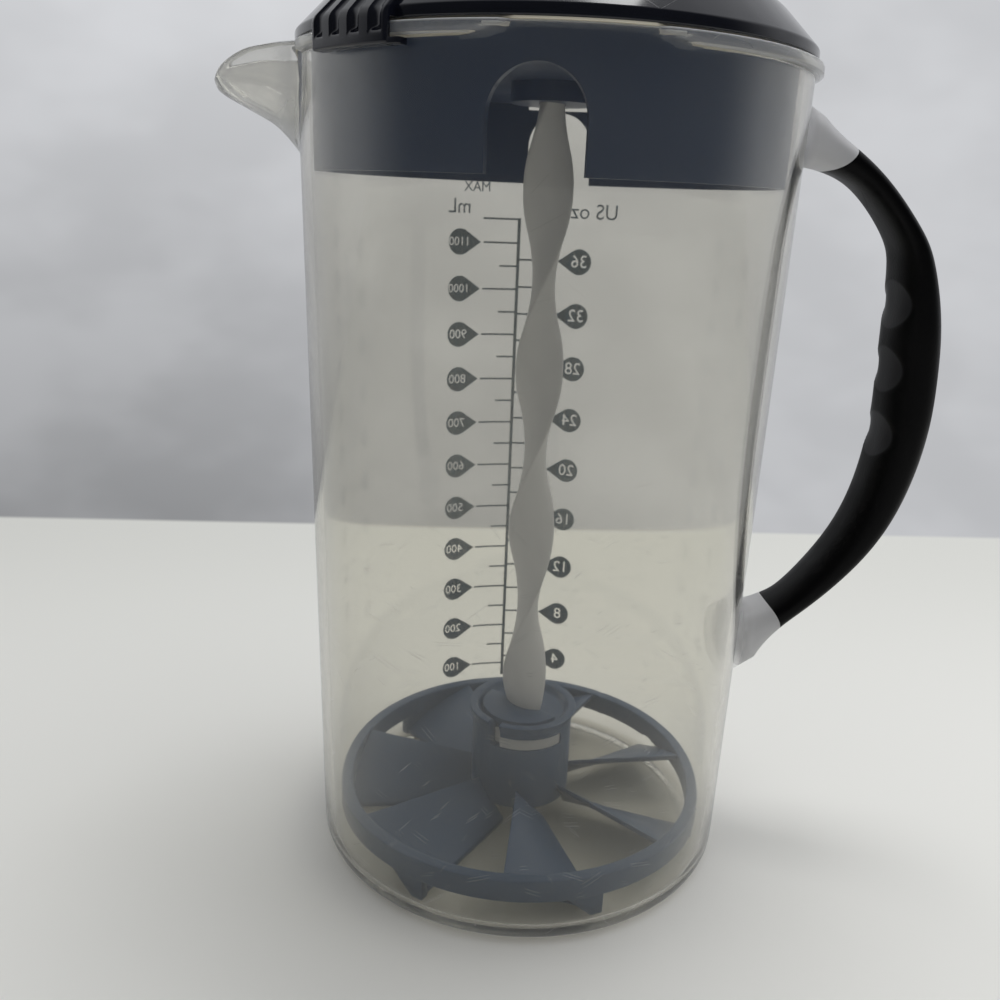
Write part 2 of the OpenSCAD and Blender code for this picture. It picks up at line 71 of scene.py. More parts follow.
# Rim: bead, notches, and the lip's section as (share of the wall, drop)
BEAD_OUT = 1.5
BEAD_H = 2.6
BEAD_TAPER = 7.0
BEAD_THIN = 0.35
BEAD_EASE = 0.7
BEAD_START = (19.5, 21.5)
NOTCH_HALF = 12.9
NOTCH_TURN = 90.0
NOTCH_EDGE = 0.4
SHOULDER_Z = 160.0
SHOULDER_DROP = 3.2
RIM_DROPS = (2.6, 2.4, 2.2, 2.0, 1.9, 1.2, 0.6)
LIP_SECTION = ((0.06, 0.22), (0.2, 0.05), (0.5, 0.0), (0.8, 0.05), (0.94, 0.22))

# Spout: its place, half its width and its depth at the wall, its fullness, keel and lip
SPOUT_AT = 180.0
SPOUT_HALF_W = 17.5
SPOUT_DEPTH = 20.5
SPOUT_WALL = 1.6
SPOUT_FULL = (1.3, 1.35)
SPOUT_SPAN = 24.0
SPOUT_KEEL = [(162.6, 52.9), (165.4, 55.0), (167.7, 57.2), (169.6, 59.6), (170.8, 62.4),
              (172.4, 65.3), (173.6, 68.0), (175.0, 70.2), (177.2, 70.95)]
SPOUT_LIP = [(57.0, RIM_Z), (63.5, 182.5), (67.0, 181.0), (69.9, 179.2), (71.0, 177.2)]

# Handle: reach, height, thickness and width along its middle, from the lower root up
HANDLE = np.array([
    (50.5, 51.0, 15.6, 16.2), (62.2, 59.2, 7.4, 13.6), (68.8, 64.6, 6.8, 13.9), (82.1, 81.8, 9.6, 15.6),
    (87.2, 103.3, 11.4, 17.0), (87.2, 118.3, 12.0, 17.0), (86.2, 132.1, 11.2, 17.0), (83.9, 144.9, 7.9, 16.0),
    (80.9, 151.7, 6.0, 15.0), (72.6, 161.3, 5.6, 13.9), (63.9, 167.2, 6.8, 13.6), (51.8, 171.9, 11.8, 16.2),
])
HANDLE_END = len(HANDLE) - 1
HANDLE_BOX = 0.8  # Fullness of its section

# Round ends of the grip: reach, height and radius, and the rows of the handle they lie between
LOWER_END = (50.8, 53.0, 13.0)
UPPER_END = (57.96, 173.1, 9.0)
END_ROWS = {LOWER_END: (0.0, 5.0), UPPER_END: (6.0, 11.0)}
GRIP_SKIN = 1.6
GRIP_EDGE = ((0.006, 0.12), (0.010, 0.4))
GRIP_OVERLAP = 0.004
ROOT_FLARE = 1.2
DISH_HEIGHTS = (136.4, 121.4, 105.9)
DISH_HALF_H = 5.5
DISH_HALF_W = 7.6
DISH_DEPTH = 0.75
DISH_X = 78.5

# Lid, with the seal under it
LID_LOW, LID_HIGH = corners_of("lid_cap")
LID_R = LID_HIGH.x
LID_TOP = LID_HIGH.z
LID_WALL = 2.0
LID_ROUND_R = 16.0
LID_Z = corners_of("lid_seal")[1].z
LID_EDGE_H = 1.9
BEVEL_Z = LID_Z + LID_EDGE_H
SEAL_RECESS = 1.6

# Lugs on the lid: their grooves, and the hook under the bead
LUG_Z = LID_LOW.z
LUG_R = 56.1
LUG_T = 1.1
LUG_ANGLE = 20.5
LUG_BAND = 1.9
LUG_TURNS = (-135.0, 45.0)
HOOK_H = 1.1
HOOK_IN_R = RIM_R + 0.3
HOOK_OUT_R = LUG_R - 0.3
HOOK_ANGLE = 2.5
GROOVES = 4
GROOVE_W = 2.9
GROOVE_DEPTH = 0.9

# Skirt, windows and guide
SKIRT_LOW, SKIRT_HIGH = corners_of("lid_skirt")
SKIRT_R = SKIRT_HIGH.x
SKIRT_WALL = 2.0
SKIRT_TOP = SKIRT_HIGH.z
WINDOW_W = 17.2
WINDOW_H = 17.6
WINDOW_TURN = 82.1
VENT_H = 1.3
VENT_Z = SKIRT_LOW.z + WINDOW_H + 0.4
CEILING_Z = VENT_Z + VENT_H
CEILING_T = 2.0
GUIDE_R = 9.0

# Shaft: the strip's section, its twist and its foot plug
SHAFT_LOW, SHAFT_HIGH = corners_of("mixing_shaft")
STRIP_W = 11.3
STRIP_T = 5.2
STRIP_EDGE = 0.12
STRIP_PITCH = 78.8
STRIP_TURN = -7.7
PLUG_R = SHAFT_HIGH.x
PLUG_H = 14.0

# Wheel: its ring, blades and feet
WHEEL_LOW, WHEEL_HIGH = corners_of("mixing_wheel")
RING_R = 46.9
RING_WALL = 2.9
RING_H = 5.6
FOOT_H = 5.5
RING_Z = WHEEL_LOW.z + FOOT_H
RING_TOP = RING_Z + RING_H
BLADES = 7
BLADE_ANGLE = 28.0
BLADE_SPREAD = 10.0
BLADE_T = 1.5
BLADE_TURN = 4.7
BLADE_SINK = 0.2
FOOT_TURN = 33.3
FOOT_ANGLE = 10.6
SOLE_ANGLE = 3.6

# Hub of the wheel: its cup and its bayonet slot
HUB_WALL = 2.1
HUB_IN_R = PLUG_R + FIT
HUB_R = HUB_IN_R + HUB_WALL
CUP_H = 3.0
CUP_FLARE = 1.1
HUB_TOP = WHEEL_HIGH.z - CUP_H
ROOF_T = 1.3
SLOT_H = 3.2
SLOT_TURN = -119.0
SLOT_ANGLE = 83.0
SLOT_LEG_W = 3.2
SLOT_Z = HUB_TOP - 0.7 - SLOT_H
PIN_GAP = 0.15

# Knob and its cap
KNOB_LOW, KNOB_HIGH = corners_of("plunger_knob")
CAP_LOW, CAP_HIGH = corners_of("knob_cap")
KNOB_R = 22.0
KNOB_SHOULDER_R = 7.9
KNOB_NECK_R = 14.0
KNOB_WAIST_R = 6
KNOB_WAIST_H = 12
KNOB_HOLE_R = 6.0
KNOB_BORE_R = 9.3
KNOB_FLOOR = 4.0
CAP_R = 15
CAP_TOP_R = 12

# Printed scale on the outside of the back wall, with its ends and its labels
SCALE_TURN = 93.3
SCALE_LOW = 13.0
SCALE_HIGH = 151.0
LINE_W = 0.85
TICK_T = 0.5
INK_T = 0.04
DROP_R = 3.45
DROP_POINT = 6.15
DISPLACED_ML = 11.0
OZ_ML = 29.574
ML_BADGE_TURN = 111.7
OZ_BADGE_TURN = 74.4
LABELS = (("mL", 5.4, 112.0, 153.5), ("US oz", 5.6, 70.5, 153.2), ("MAX", 3.6, 106.5, 158.6))

# ---- Camera ----

CAMERA_AT = (-19.14, -218.77, 156.53)
LOOK_TURN = 86.438
LOOK_DOWN = 18.372
CAMERA_ROLL = 2.396
CAMERA_LENS = 34.16
CAMERA_SENSOR = 36.0
CAMERA_SHIFT = (-0.00969, 0.0118)
CAMERA_CLIP = (0.01, 50.0)


def direction(turn, tilt=0.0):
    """Unit vector at a turn about Z and a tilt above the table, in degrees."""
    a, e = radians(turn), radians(tilt)
    return Vector((cos(a) * cos(e), sin(a) * cos(e), sin(e)))


def placed(name, data):
    """A new object in the scene."""
    made = bpy.data.objects.new(name, data)
    bpy.context.scene.collection.objects.link(made)
    return made


def make_camera():
    ahead = direction(LOOK_TURN, -LOOK_DOWN)
    level = ahead.cross(Vector((0, 0, 1))).normalized()
    upward = level.cross(ahead)
    roll = radians(CAMERA_ROLL)
    side = level * cos(roll) + upward * sin(roll)
    top = upward * cos(roll) - level * sin(roll)
    camera = placed("camera", bpy.data.cameras.new("camera"))
    turn = Matrix((side, top, -ahead)).transposed()
    camera.matrix_world = Matrix.Translation(Vector(CAMERA_AT) * MM) @ turn.to_4x4()
    camera.data.lens = CAMERA_LENS
    camera.data.sensor_width = CAMERA_SENSOR
    camera.data.shift_x, camera.data.shift_y = CAMERA_SHIFT
    camera.data.clip_start, camera.data.clip_end = CAMERA_CLIP
    bpy.context.scene.camera = camera


make_camera()

# ---- Shader nodes ----


def rgb(red, green, blue):
    return (red, green, blue, 1.0)


WHITE = rgb(1, 1, 1)


class Net:
    """A net of shader nodes, with a short call for each step that the looks repeat."""

    def __init__(self, owner):
        owner.use_nodes = True
        self.tree = owner.node_tree
        self.tree.nodes.clear()

    def add(self, kind, inputs=None, **settings):
        """Outputs of a new node, with its settings, and its inputs linked or set."""
        made = self.tree.nodes.new("ShaderNode" + kind)
        for key, value in settings.items():
            setattr(made, key, value)
        for key, value in (inputs or {}).items():
            if isinstance(value, bpy.types.NodeSocket):
                self.tree.links.new(value, made.inputs[key])
            else:
                made.inputs[key].default_value = value
        return made.outputs

    def calc(self, operation, first, *others):
        for other in others or (0.0,):
            first = self.add("Math", {0: first, 1: other}, operation=operation)[0]
        return first

    def plus(self, *terms):
        return self.calc("ADD", *terms)

    def times(self, *factors):
        return self.calc("MULTIPLY", *factors)

    def most(self, *values):
        return self.calc("MAXIMUM", *values)

    def vector(self, operation, first, second):
        return self.add("VectorMath", {0: first, 1: second}, operation=operation)[0]

    def length(self, vector):
        return self.add("VectorMath", {0: vector}, operation="LENGTH")["Value"]

    def parts(self, vector):
        return self.add("SeparateXYZ", {0: vector})

    def ramp(self, value, low, high, start=0.0, end=1.0, unit=1.0, how="SMOOTHSTEP"):
        """value from low to high, in a unit, carried to start to end."""
        return self.add("MapRange", {"Value": value, "From Min": low * unit, "From Max": high * unit,
                                     "To Min": start, "To Max": end}, interpolation_type=how)[0]

    def noise(self, coords, scale, detail, stretch=(1.0, 1.0, 1.0)):
        stretched = self.add("Mapping", {"Vector": coords, "Scale": stretch})[0]
        return self.add("TexNoise", {"Vector": stretched, "Scale": scale, "Detail": detail})[0]

    def bump(self, height, strength, distance):
        return self.add("Bump", {"Height": height, "Strength": strength, "Distance": distance})[0]

    def tint(self, share, first, second):
        return self.add("MixRGB", {0: share, 1: first, 2: second})[0]

    def shader(self, kind, colour, **inputs):
        return self.add(kind, {"Color": colour, **inputs})[0]

    def mix(self, share, first, second):
        return self.add("MixShader", {0: share, 1: first, 2: second})[0]

    def facing(self):
        """0 where a surface faces the eye, 1 at its outline."""
        return self.add("LayerWeight", {"Blend": 0.5})["Facing"]

    def show(self, shader):
        self.add("OutputMaterial", {"Surface": shader})


def new_look(name):
    """A material, its nodes and the coordinates of its piece."""
    look = bpy.data.materials.new(name)
    net = Net(look)
    return look, net, net.add("TexCoord")["Object"]


def distance_out(net, coords):
    """Distance from the jug's axis."""
    return net.length(net.vector("MULTIPLY", coords, (1.0, 1.0, 0.0)))


def unrolled(net, coords):
    """Place on a round wall laid flat: distance round the axis, then height."""
    parts = net.parts(coords)
    along = net.times(net.calc("ARCTAN2", parts[1], parts[0]), RIM_R * MM)
    return net.add("CombineXYZ", {0: along, 1: parts[2]})[0]


# Scratches: size of their cells, share of cells that have one, half its width
SCRATCHES = (9.0, 0.5, 0.07)
FINE_SCRATCHES = (5.0, 0.4, 0.05)
SCRATCH_LEAN = 0.9
SCRATCH_REACH = 0.55


def scratches(net, coords, cell, kept, half_w):
    """Fine straight scratches from 0 to 1, at most one in a cell."""
    flat = unrolled(net, coords)
    cells = net.add("TexVoronoi", {"Vector": flat, "Scale": 1 / (cell * MM)}, voronoi_dimensions="2D")
    chance = net.add("SeparateColor", {0: cells["Color"]})
    lean = net.calc("SUBTRACT", net.times(chance[0], 2 * SCRATCH_LEAN), SCRATCH_LEAN)
    local = net.vector("SUBTRACT", flat, cells["Position"])
    turned = net.add("VectorRotate", {"Vector": local, "Angle": lean}, rotation_type="Z_AXIS")[0]
    place = net.parts(turned)
    across = net.calc("ABSOLUTE", place[1])
    along = net.calc("DIVIDE", net.calc("ABSOLUTE", place[0]), net.times(chance[1], cell * SCRATCH_REACH * MM))
    return net.times(net.ramp(across, half_w * 0.3, half_w, 1.0, 0.0, MM), net.ramp(along, 0.5, 1.0, 1.0, 0.0),
                     net.calc("LESS_THAN", chance[2], kept))


# ---- Looks ----

# Haze of the clear plastic, as ramps over height or distance out. The spout's is taken off the bead's.
EDGE_HAZE = 0.19
EDGE_HAZE_POWER = 2.2
BASE_HAZE = (0.0, 9.0, 0.15, 0.0)
SEAT_HAZE = (RIM_Z - 0.5, RIM_Z - 0.1, 0.0, 0.6)
BEAD_HAZE = (RIM_R + 0.2, RIM_R + 1.0, 0.0, 0.24)
SPOUT_HAZE = (RIM_R + 2.0, RIM_R + 5.0, 0.0, 0.14)
SCRATCH_HAZE = (30.0, 110.0, 0.42, 0.06)
CLOUD_HAZE = (0.3, 0.7, 0.006, 0.016)

# Colours face on and at the outline, for straight and for bent light, and of the haze
OUTLINE = (0.55, 0.97)
STRAIGHT_TINTS = (rgb(0.928, 0.924, 0.897), rgb(0.74, 0.70, 0.64))
BENT_TINTS = (rgb(0.933, 0.927, 0.901), rgb(0.98, 0.98, 0.985))
HAZE_TINT = rgb(0.81, 0.82, 0.84)
CLEAR_ROUGHNESS = 0.035
CLEAR_IOR = 1.49

# Milky plastic, and how it fades where a root merges with the wall
MILKY_TINTS = (rgb(0.64, 0.64, 0.66), rgb(0.74, 0.74, 0.755))
MILKY_ROUGHNESS = 0.36
MILKY_THROUGH = 0.35
ROOT_MERGE = (RIM_R - 0.5, RIM_R + 3.5, 0.85, 0.0)
INSIDE_R = BASE_R * 0.8
GRAIN_DEPTH = 0.0002


def haze_of(net, coords, facing):
    """Share of haze: most at the edges, rim, spout and base, and in scratches."""
    height = net.parts(coords)[2]
    out = distance_out(net, coords)
    edge = net.times(net.calc("POWER", facing, EDGE_HAZE_POWER), EDGE_HAZE)
    proud = net.calc("SUBTRACT", net.ramp(out, *BEAD_HAZE, MM), net.ramp(out, *SPOUT_HAZE, MM))
    cloud = net.ramp(net.noise(coords, 30.0, 4.0), *CLOUD_HAZE)
    marks = net.most(scratches(net, coords, *SCRATCHES), scratches(net, coords, *FINE_SCRATCHES))
    marks = net.times(marks, net.ramp(height, *SCRATCH_HAZE, MM))
    return net.plus(edge, net.ramp(height, *BASE_HAZE, MM), net.ramp(height, *SEAT_HAZE, MM), cloud, proud,
                    marks)


def clear_look():
    """See-through plastic. Shadow and diffuse rays pass straight through, so that what stands inside is lit."""
    look, net, coords = new_look("clear_plastic")
    facing = net.facing()
    outline = net.ramp(facing, *OUTLINE)
    straight = net.shader("BsdfTransparent", net.tint(outline, *STRAIGHT_TINTS))
    wavy = net.bump(net.noise(coords, 45.0, 1.0), 0.03, 0.0003)
    bent = net.shader("BsdfGlass", net.tint(outline, *BENT_TINTS), Roughness=CLEAR_ROUGHNESS, IOR=CLEAR_IOR,
                      Normal=wavy)
    path = net.add("LightPath")
    through = net.mix(net.most(path["Is Shadow Ray"], path["Is Diffuse Ray"]), bent, straight)
    solid = net.shader("BsdfDiffuse", HAZE_TINT)
    lit = net.shader("BsdfTranslucent", HAZE_TINT)
    net.show(net.mix(haze_of(net, coords, facing), through, net.mix(0.5, solid, lit)))
    return look


def milky_look():
    """Milky plastic of the shaft and the handle's roots, which grow clearer where they merge with the wall."""
    look, net, coords = new_look("milky_plastic")
    tint = net.tint(net.noise(coords, 120.0, 4.0), *MILKY_TINTS)
    grain = net.bump(net.noise(coords, 1400.0, 2.0), 0.10, GRAIN_DEPTH)
    skin = net.add("BsdfPrincipled", {"Base Color": tint, "Roughness": MILKY_ROUGHNESS, "Normal": grain})[0]
    lit = net.shader("BsdfTranslucent", tint)
    out = distance_out(net, coords)
    merging = net.times(net.ramp(out, *ROOT_MERGE, MM), net.calc("GREATER_THAN", out, INSIDE_R * MM))
    clear = net.shader("BsdfTransparent", WHITE)
    net.show(net.mix(merging, net.mix(MILKY_THROUGH, skin, lit), clear))
    return look


def moulded_look(name, low, high, roughness, grain, grain_scale, specular=0.5, sheen_patches=()):
    """Moulded plastic with a fine grain and patchy gloss, and a painted sheen, lighter grey, in ellipsoids of
    (middle, half lengths).
    """
    look, net, coords = new_look(name)
    tint = net.tint(net.noise(coords, 45.0, 5.0), rgb(*low), rgb(*high))
    for middle, halves in sheen_patches:
        away = net.vector("SUBTRACT", coords, [c * MM for c in middle])
        reach = net.length(net.vector("DIVIDE", away, [h * MM for h in halves]))
        # Painted sheen: lighter grey inside each ellipsoid
        tint = net.tint(net.ramp(reach, 0.9, 1.0, 1.0, 0.0), tint, DISH_SHEEN_GREY)
    patchy = net.ramp(net.noise(coords, 70.0, 4.0), 0.3, 0.7, roughness * 0.85, roughness * 1.2)
    rough = net.plus(patchy, net.times(scratches(net, coords, *SCRATCHES), 0.2))
    bumps = net.bump(net.noise(coords, grain_scale, 2.0), grain, GRAIN_DEPTH)
    net.show(net.add("BsdfPrincipled", {"Base Color": tint, "Roughness": rough, "Normal": bumps,
                                        "Specular IOR Level": specular})[0])
    return look


# Painted sheen on the grip's finger dishes: they are drawn lighter grey, as where they catch the light
DISH_SHEEN_GREY = rgb(0.026, 0.026, 0.029)
DISH_SHEEN_PATCH = (9.0, DISH_HALF_W * 1.08, DISH_HALF_H * 1.08)
DISH_SHEEN_PATCHES = [((DISH_X, 0.0, height), DISH_SHEEN_PATCH) for height in DISH_HEIGHTS]

# Two colours, roughness, strength and scale of the grain, and at times specular level and painted sheen patches
MOULDED = {
    "grip_rubber": ((0.0012, 0.0012, 0.0016), (0.0022, 0.0022, 0.0027), 0.40, 0.2, 1600.0, 0.09, DISH_SHEEN_PATCHES),
    "gloss_black": ((0.004, 0.005, 0.009), (0.007, 0.008, 0.014), 0.10, 0.02, 500.0),
    "slate_plastic": ((0.048, 0.067, 0.124), (0.061, 0.084, 0.147), 0.36, 0.04, 2600.0),
    "wheel_slate": ((0.032, 0.064, 0.130), (0.043, 0.081, 0.154), 0.38, 0.03, 2600.0),
    "silicone": ((0.66, 0.61, 0.50), (0.76, 0.71, 0.60), 0.5, 0.2, 900.0),
    "knob_black": ((0.008, 0.009, 0.013), (0.012, 0.013, 0.018), 0.28, 0.15, 1600.0),
    "scale_ink": ((0.10, 0.155, 0.22), (0.13, 0.195, 0.27), 0.55, 0.1, 1600.0),
}
LOOKS = {name: moulded_look(name, *finish) for name, finish in MOULDED.items()}
LOOKS["clear_plastic"] = clear_look()
LOOKS["milky_plastic"] = milky_look()

# Looks that belong in another look's material slot; settle only looks them up, and each piece keeps its own
# look
SLOT_OF = {"scale_ink": "slate_plastic", "wheel_slate": "slate_plastic"}

# ---- Meshes ----

WELD = 2e-7
SHARP = 35.0


def finish_mesh(mesh, sharp):
    """Welds a mesh, and smooths all but its sharp edges."""
    work = bmesh.new()
    work.from_mesh(mesh)
    bmesh.ops.remove_doubles(work, verts=work.verts, dist=WELD)
    bmesh.ops.dissolve_degenerate(work, edges=work.edges, dist=WELD)
    bmesh.ops.recalc_face_normals(work, faces=work.faces)
    work.to_mesh(mesh)
    work.free()
    mesh.shade_smooth()
    mesh.set_sharp_from_angle(angle=radians(sharp))


def new_piece(name, points, faces, sharp=SHARP):
    """An object from points in millimetres."""
    mesh = bpy.data.meshes.new(name)
    mesh.from_pydata([Vector(p) * MM for p in points], [], faces)
    finish_mesh(mesh, sharp)
    return placed(name, mesh)


def dress(piece, look):
    piece.data.materials.clear()
    piece.data.materials.append(LOOKS[look])


def settle(piece, body, look, *nodes):
    """Gives a piece its finish and its body, and lets it stand for CAD nodes."""
    dress(piece, look)
    SLOT_OF.get(look, look)
    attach(piece, body)
    if nodes:
        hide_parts(*nodes)


def evaluated(thing):
    return thing.evaluated_get(bpy.context.evaluated_depsgraph_get())


def baked(piece):
    """Applies a piece's modifiers."""
    mesh = bpy.data.meshes.new_from_object(evaluated(piece))
    piece.modifiers.clear()
    old = piece.data
    piece.data = mesh
    bpy.data.meshes.remove(old)
    finish_mesh(piece.data, SHARP)
    return piece


def bevelled(piece, width, angle=SHARP, segments=2):
    """Rounds a piece's sharp edges."""
    rim = piece.modifiers.new("edges", "BEVEL")
    rim.width, rim.segments, rim.limit_method = width * MM, segments, "ANGLE"
    rim.angle_limit = radians(angle)
    return baked(piece)


def cut(piece, tool, operation):
    """Cuts a piece with a tool, or joins the two, and removes the tool."""
    step = piece.modifiers.new("cut", "BOOLEAN")
    step.operation, step.object, step.solver = operation, tool, "EXACT"
    bpy.context.view_layer.update()
    baked(piece)
    mesh = tool.data
    bpy.data.objects.remove(tool)
    bpy.data.meshes.remove(mesh)


def around(turn, reach, height):
    a = radians(turn)
    return (reach * cos(a), reach * sin(a), height)


def even_turns(count):
    return [360 * k / count for k in range(count)]


def arc(centre, radius, start, end, steps):
    """Points of an arc, its angles in degrees."""
    turns = [radians(start + (end - start) * k / steps) for k in range(steps + 1)]
    return [(centre[0] + radius * cos(t), centre[1] + radius * sin(t)) for t in turns]


def rounded(corners, radius):
    """A closed outline with its corners rounded off. A corner may give its own radius."""
    steps, most, least = 4, 0.45, 0.01
    outline = []
    for i, corner in enumerate(corners):
        here = Vector(corner[:2])
        own = corner[2] if len(corner) > 2 else radius
        before = Vector(corners[i - 1][:2]) - here
        after = Vector(corners[(i + 1) % len(corners)][:2]) - here
        off = min(own, before.length * most, after.length * most)
        if off < least:
            outline.append(tuple(here))
            continue
        start, end = here + before.normalized() * off, here + after.normalized() * off
        for k in range(steps + 1):
            t = k / steps
            outline.append(tuple(start.lerp(here, t).lerp(here.lerp(end, t), t)))
    return outline


def skin(rings, bands):
    """Points and faces over rings of equal counts, from each ring to the next."""
    rows, columns = len(rings), len(rings[0])
    faces = []
    for i in range(bands):
        for k in range(columns):
            up, across = (i + 1) % rows, (k + 1) % columns
            faces.append((i * columns + k, i * columns + across, up * columns + across, up * columns + k))
    return [point for ring in rings for point in ring], faces


def tube(rings):
    """A skin whose last ring meets its first."""
    return skin(rings, len(rings))


def block(rings):
    """A skin that is capped at both ends."""
    points, faces = skin(rings, len(rings) - 1)
    count = len(rings[0])
    last = (len(rings) - 1) * count
    return points, faces + [tuple(range(count)), tuple(range(last, last + count))]


def swept(turns, outline_at, start=0.0):
    """A skin over an outline of (reach, height) that may change on its way round Z."""
    columns = [[around(start + turn, r, z) for r, z in outline_at(turn)] for turn in turns]
    return tube(list(zip(*columns)))


def lathe(corners, radius, segments):
    """A skin over one outline, rounded off and turned about Z."""
    outline = rounded(corners, radius)
    return swept(even_turns(segments), lambda turn: outline)


def wedge(start, end, in_r, out_r, low, high, steps):
    """A ring sector with a rectangular section."""
    section = ((in_r, low), (out_r, low), (out_r, high), (in_r, high))
    turns = [start + (end - start) * k / steps for k in range(steps + 1)]
    return block([[around(turn, r, z) for r, z in section] for turn in turns])


def join(*parts):
    """One list of points and faces from several."""
    points, faces = [], []
    for part_points, part_faces in parts:
        first = len(points)
        points += part_points
        faces += [tuple(first + j for j in face) for face in part_faces]
    return points, faces


def curve_through(rows, place):
    """The smooth curve through rows at a place from 0 to the last row."""
    last = len(rows) - 1
    i = min(int(place), last - 1)
    t = place - i
    a, b, c, d = (rows[min(max(j, 0), last)] for j in (i - 1, i, i + 1, i + 2))
    bend, twist = 2 * a - 5 * b + 4 * c - d, 3 * b - a - 3 * c + d
    return 0.5 * (2 * b + (c - a) * t + bend * t ** 2 + twist * t ** 3)


def eased(x, table, reach=0.7):
    """A value read between the rows of a table, with its corners eased."""
    keys, values = zip(*table)
    return sum(w * np.interp(x + s * reach, keys, values) for s, w in ((-1, 0.25), (0, 0.5), (1, 0.25)))


def fade(x, start, end):
    """0 before start and 1 after end, smoothly."""
    t = min(max((x - start) / (end - start), 0.0), 1.0)
    return t * t * (3 - 2 * t)


# ---- Jug ----


def wall_r(z):
    return BASE_R + (RIM_R - BASE_R) * z / RIM_Z


def spout_part(turn, z, wall, half_w, keel):
    """How far the spout stands out from a wall at a turn from its middle."""
    depth = (RIM_Z - z) / SPOUT_DEPTH
    if depth >= 1 or abs(turn) > 60:
        return 0.0
    half = half_w * sqrt(1 - max(depth, 0.0) ** 2)
    across = wall * abs(sin(radians(turn))) / max(half, 0.01)
    if across >= 1:
        return 0.0
    return max(keel - wall, 0.0) * (1 - across ** SPOUT_FULL[0]) ** SPOUT_FULL[1]


def outer_r(turn, z):
    wall = wall_r(z)
    return wall + spout_part(turn, z, wall, SPOUT_HALF_W, eased(z, SPOUT_KEEL))


def inner_r(turn, z):
    wall = wall_r(z) - JUG_WALL
    keel = eased(z - SPOUT_WALL, SPOUT_KEEL) - SPOUT_WALL
    return wall + spout_part(turn, z, wall, SPOUT_HALF_W - SPOUT_WALL, keel)


def lip_z(turn):
    """Height of the lip, which dips towards the spout's tip."""
    z = RIM_Z
    for _ in range(24):
        z = 0.5 * z + 0.5 * float(eased(outer_r(turn, z), SPOUT_LIP, 1.0))
    return min(z, RIM_Z)


def bead(turn, z, top):
    """How far the rim bead stands out. It runs out at the notches and the spout."""
    past_notch = abs(abs(turn) - NOTCH_TURN) - NOTCH_HALF
    under = top - BEAD_H * (BEAD_THIN + (1 - BEAD_THIN) * fade(past_notch, 0.0, BEAD_TAPER))
    beside = fade(past_notch, -NOTCH_EDGE, NOTCH_EDGE) * fade(abs(turn), *BEAD_START)
    return BEAD_OUT * fade(z, under, under + BEAD_EASE) * beside


def jug_outline(turn):
    """Section of the shell: under the base, up outside, over the lip, down inside."""
    top = lip_z(turn)
    corner = arc((BASE_R - CORNER_R, CORNER_R), CORNER_R, -90, 0, 8)
    levels = list(np.linspace(8, 158, 16))
    levels += [SHOULDER_Z + (top - SHOULDER_DROP - SHOULDER_Z) * t for t in np.linspace(0, 1, 18)]
    levels += [top - drop for drop in RIM_DROPS]
    outside = [(outer_r(turn, z) + bead(turn, z, top), z) for z in levels]
    outer, inner = outside[-1][0], inner_r(turn, top)
    lip = [(outer - (outer - inner) * share, top - drop) for share, drop in LIP_SECTION]
    inside = [(inner_r(turn, z), z) for z in reversed(levels)]
    middle = (BASE_R - JUG_WALL - FLOOR_ROUND_R, JUG_FLOOR + FLOOR_ROUND_R)
    turned = arc(middle, FLOOR_ROUND_R, 0, -90, 6)
    return UNDERSIDE + corner + outside + lip + inside + turned + [(30, JUG_FLOOR), (0, JUG_FLOOR)]


def jug_turns():
    """Turns of the jug's columns from the spout, closer where its shape changes."""
    turns = set(np.round(np.arange(-180, 180, 2.5), 3))
    turns |= {round(SPOUT_SPAN * copysign(abs(s) ** 1.5, s), 3) for s in np.linspace(-1, 1, 57)}
    for side in (-NOTCH_TURN, NOTCH_TURN):
        for edge in (-NOTCH_HALF, NOTCH_HALF):
            turns |= {round(side + edge + step * NOTCH_EDGE, 3) for step in (-1, -0.5, 0, 0.5, 1)}
    return sorted(turns)


def make_jug():
    shell = new_piece("jug_shell", *swept(jug_turns(), jug_outline, SPOUT_AT), 40)
    settle(shell, "jug", "clear_plastic", "jug_body")


# ---- Handle ----


def evened(rows, steps=20, spread=11):
    """Places along the rows, and the rows' smooth curve there, evened out."""
    places = np.linspace(0, len(rows) - 1, (len(rows) - 1) * steps + 1)
    fine = np.array([curve_through(rows, place) for place in places])
    even = fine.copy()
    for i in range(len(fine)):
        span = min(spread, i, len(fine) - 1 - i)
        even[i] = fine[i - span:i + span + 1].mean(axis=0)
    return places, even


HANDLE_PLACES, HANDLE_EVEN = evened(HANDLE)


def handle_at(place):
    return np.array([np.interp(place, HANDLE_PLACES, HANDLE_EVEN[:, k]) for k in range(4)])


def handle_point(place, side, inset):
    """A point on the handle's skin: place along it, side round it in degrees from the outer face."""
    reach, height, thick, width = handle_at(place)
    ahead = handle_at(min(place + 0.1, HANDLE_END)) - handle_at(max(place - 0.1, 0))
    slope = atan2(ahead[1], ahead[0])
    c, s = cos(radians(side)), sin(radians(side))
    u = (thick / 2 - inset) * copysign(abs(c) ** HANDLE_BOX, c)
    v = (width / 2 - inset) * copysign(abs(s) ** HANDLE_BOX, s)
    return reach + u * sin(slope), v, height - u * cos(slope)


def end_place(side, end):
    """Where along the handle its skin meets a round end, by halving."""
    low, high = END_ROWS[end]
    for _ in range(30):
        place = (low + high) / 2
        x, _, z = handle_point(place, side, 0.0)
        within = hypot(x - end[0], z - end[1]) < end[2]
        if within == (end is LOWER_END):
            low = place
        else:
            high = place
    return (low + high) / 2


def end_ring(end, shift, sides):
    """A ring of (place, side) that follows a round end, moved along the handle by shift."""
    return [(end_place(side, end) + shift, side) for side in even_turns(sides)]


def between(low, high, share):
    """The ring at a share of the way from one ring to another."""
    return [(a + (b - a) * share, side) for (a, side), (b, _) in zip(low, high)]


def on_handle(ring, inset, shift=0.0):
    return [handle_point(place + shift, side, inset) for place, side in ring]


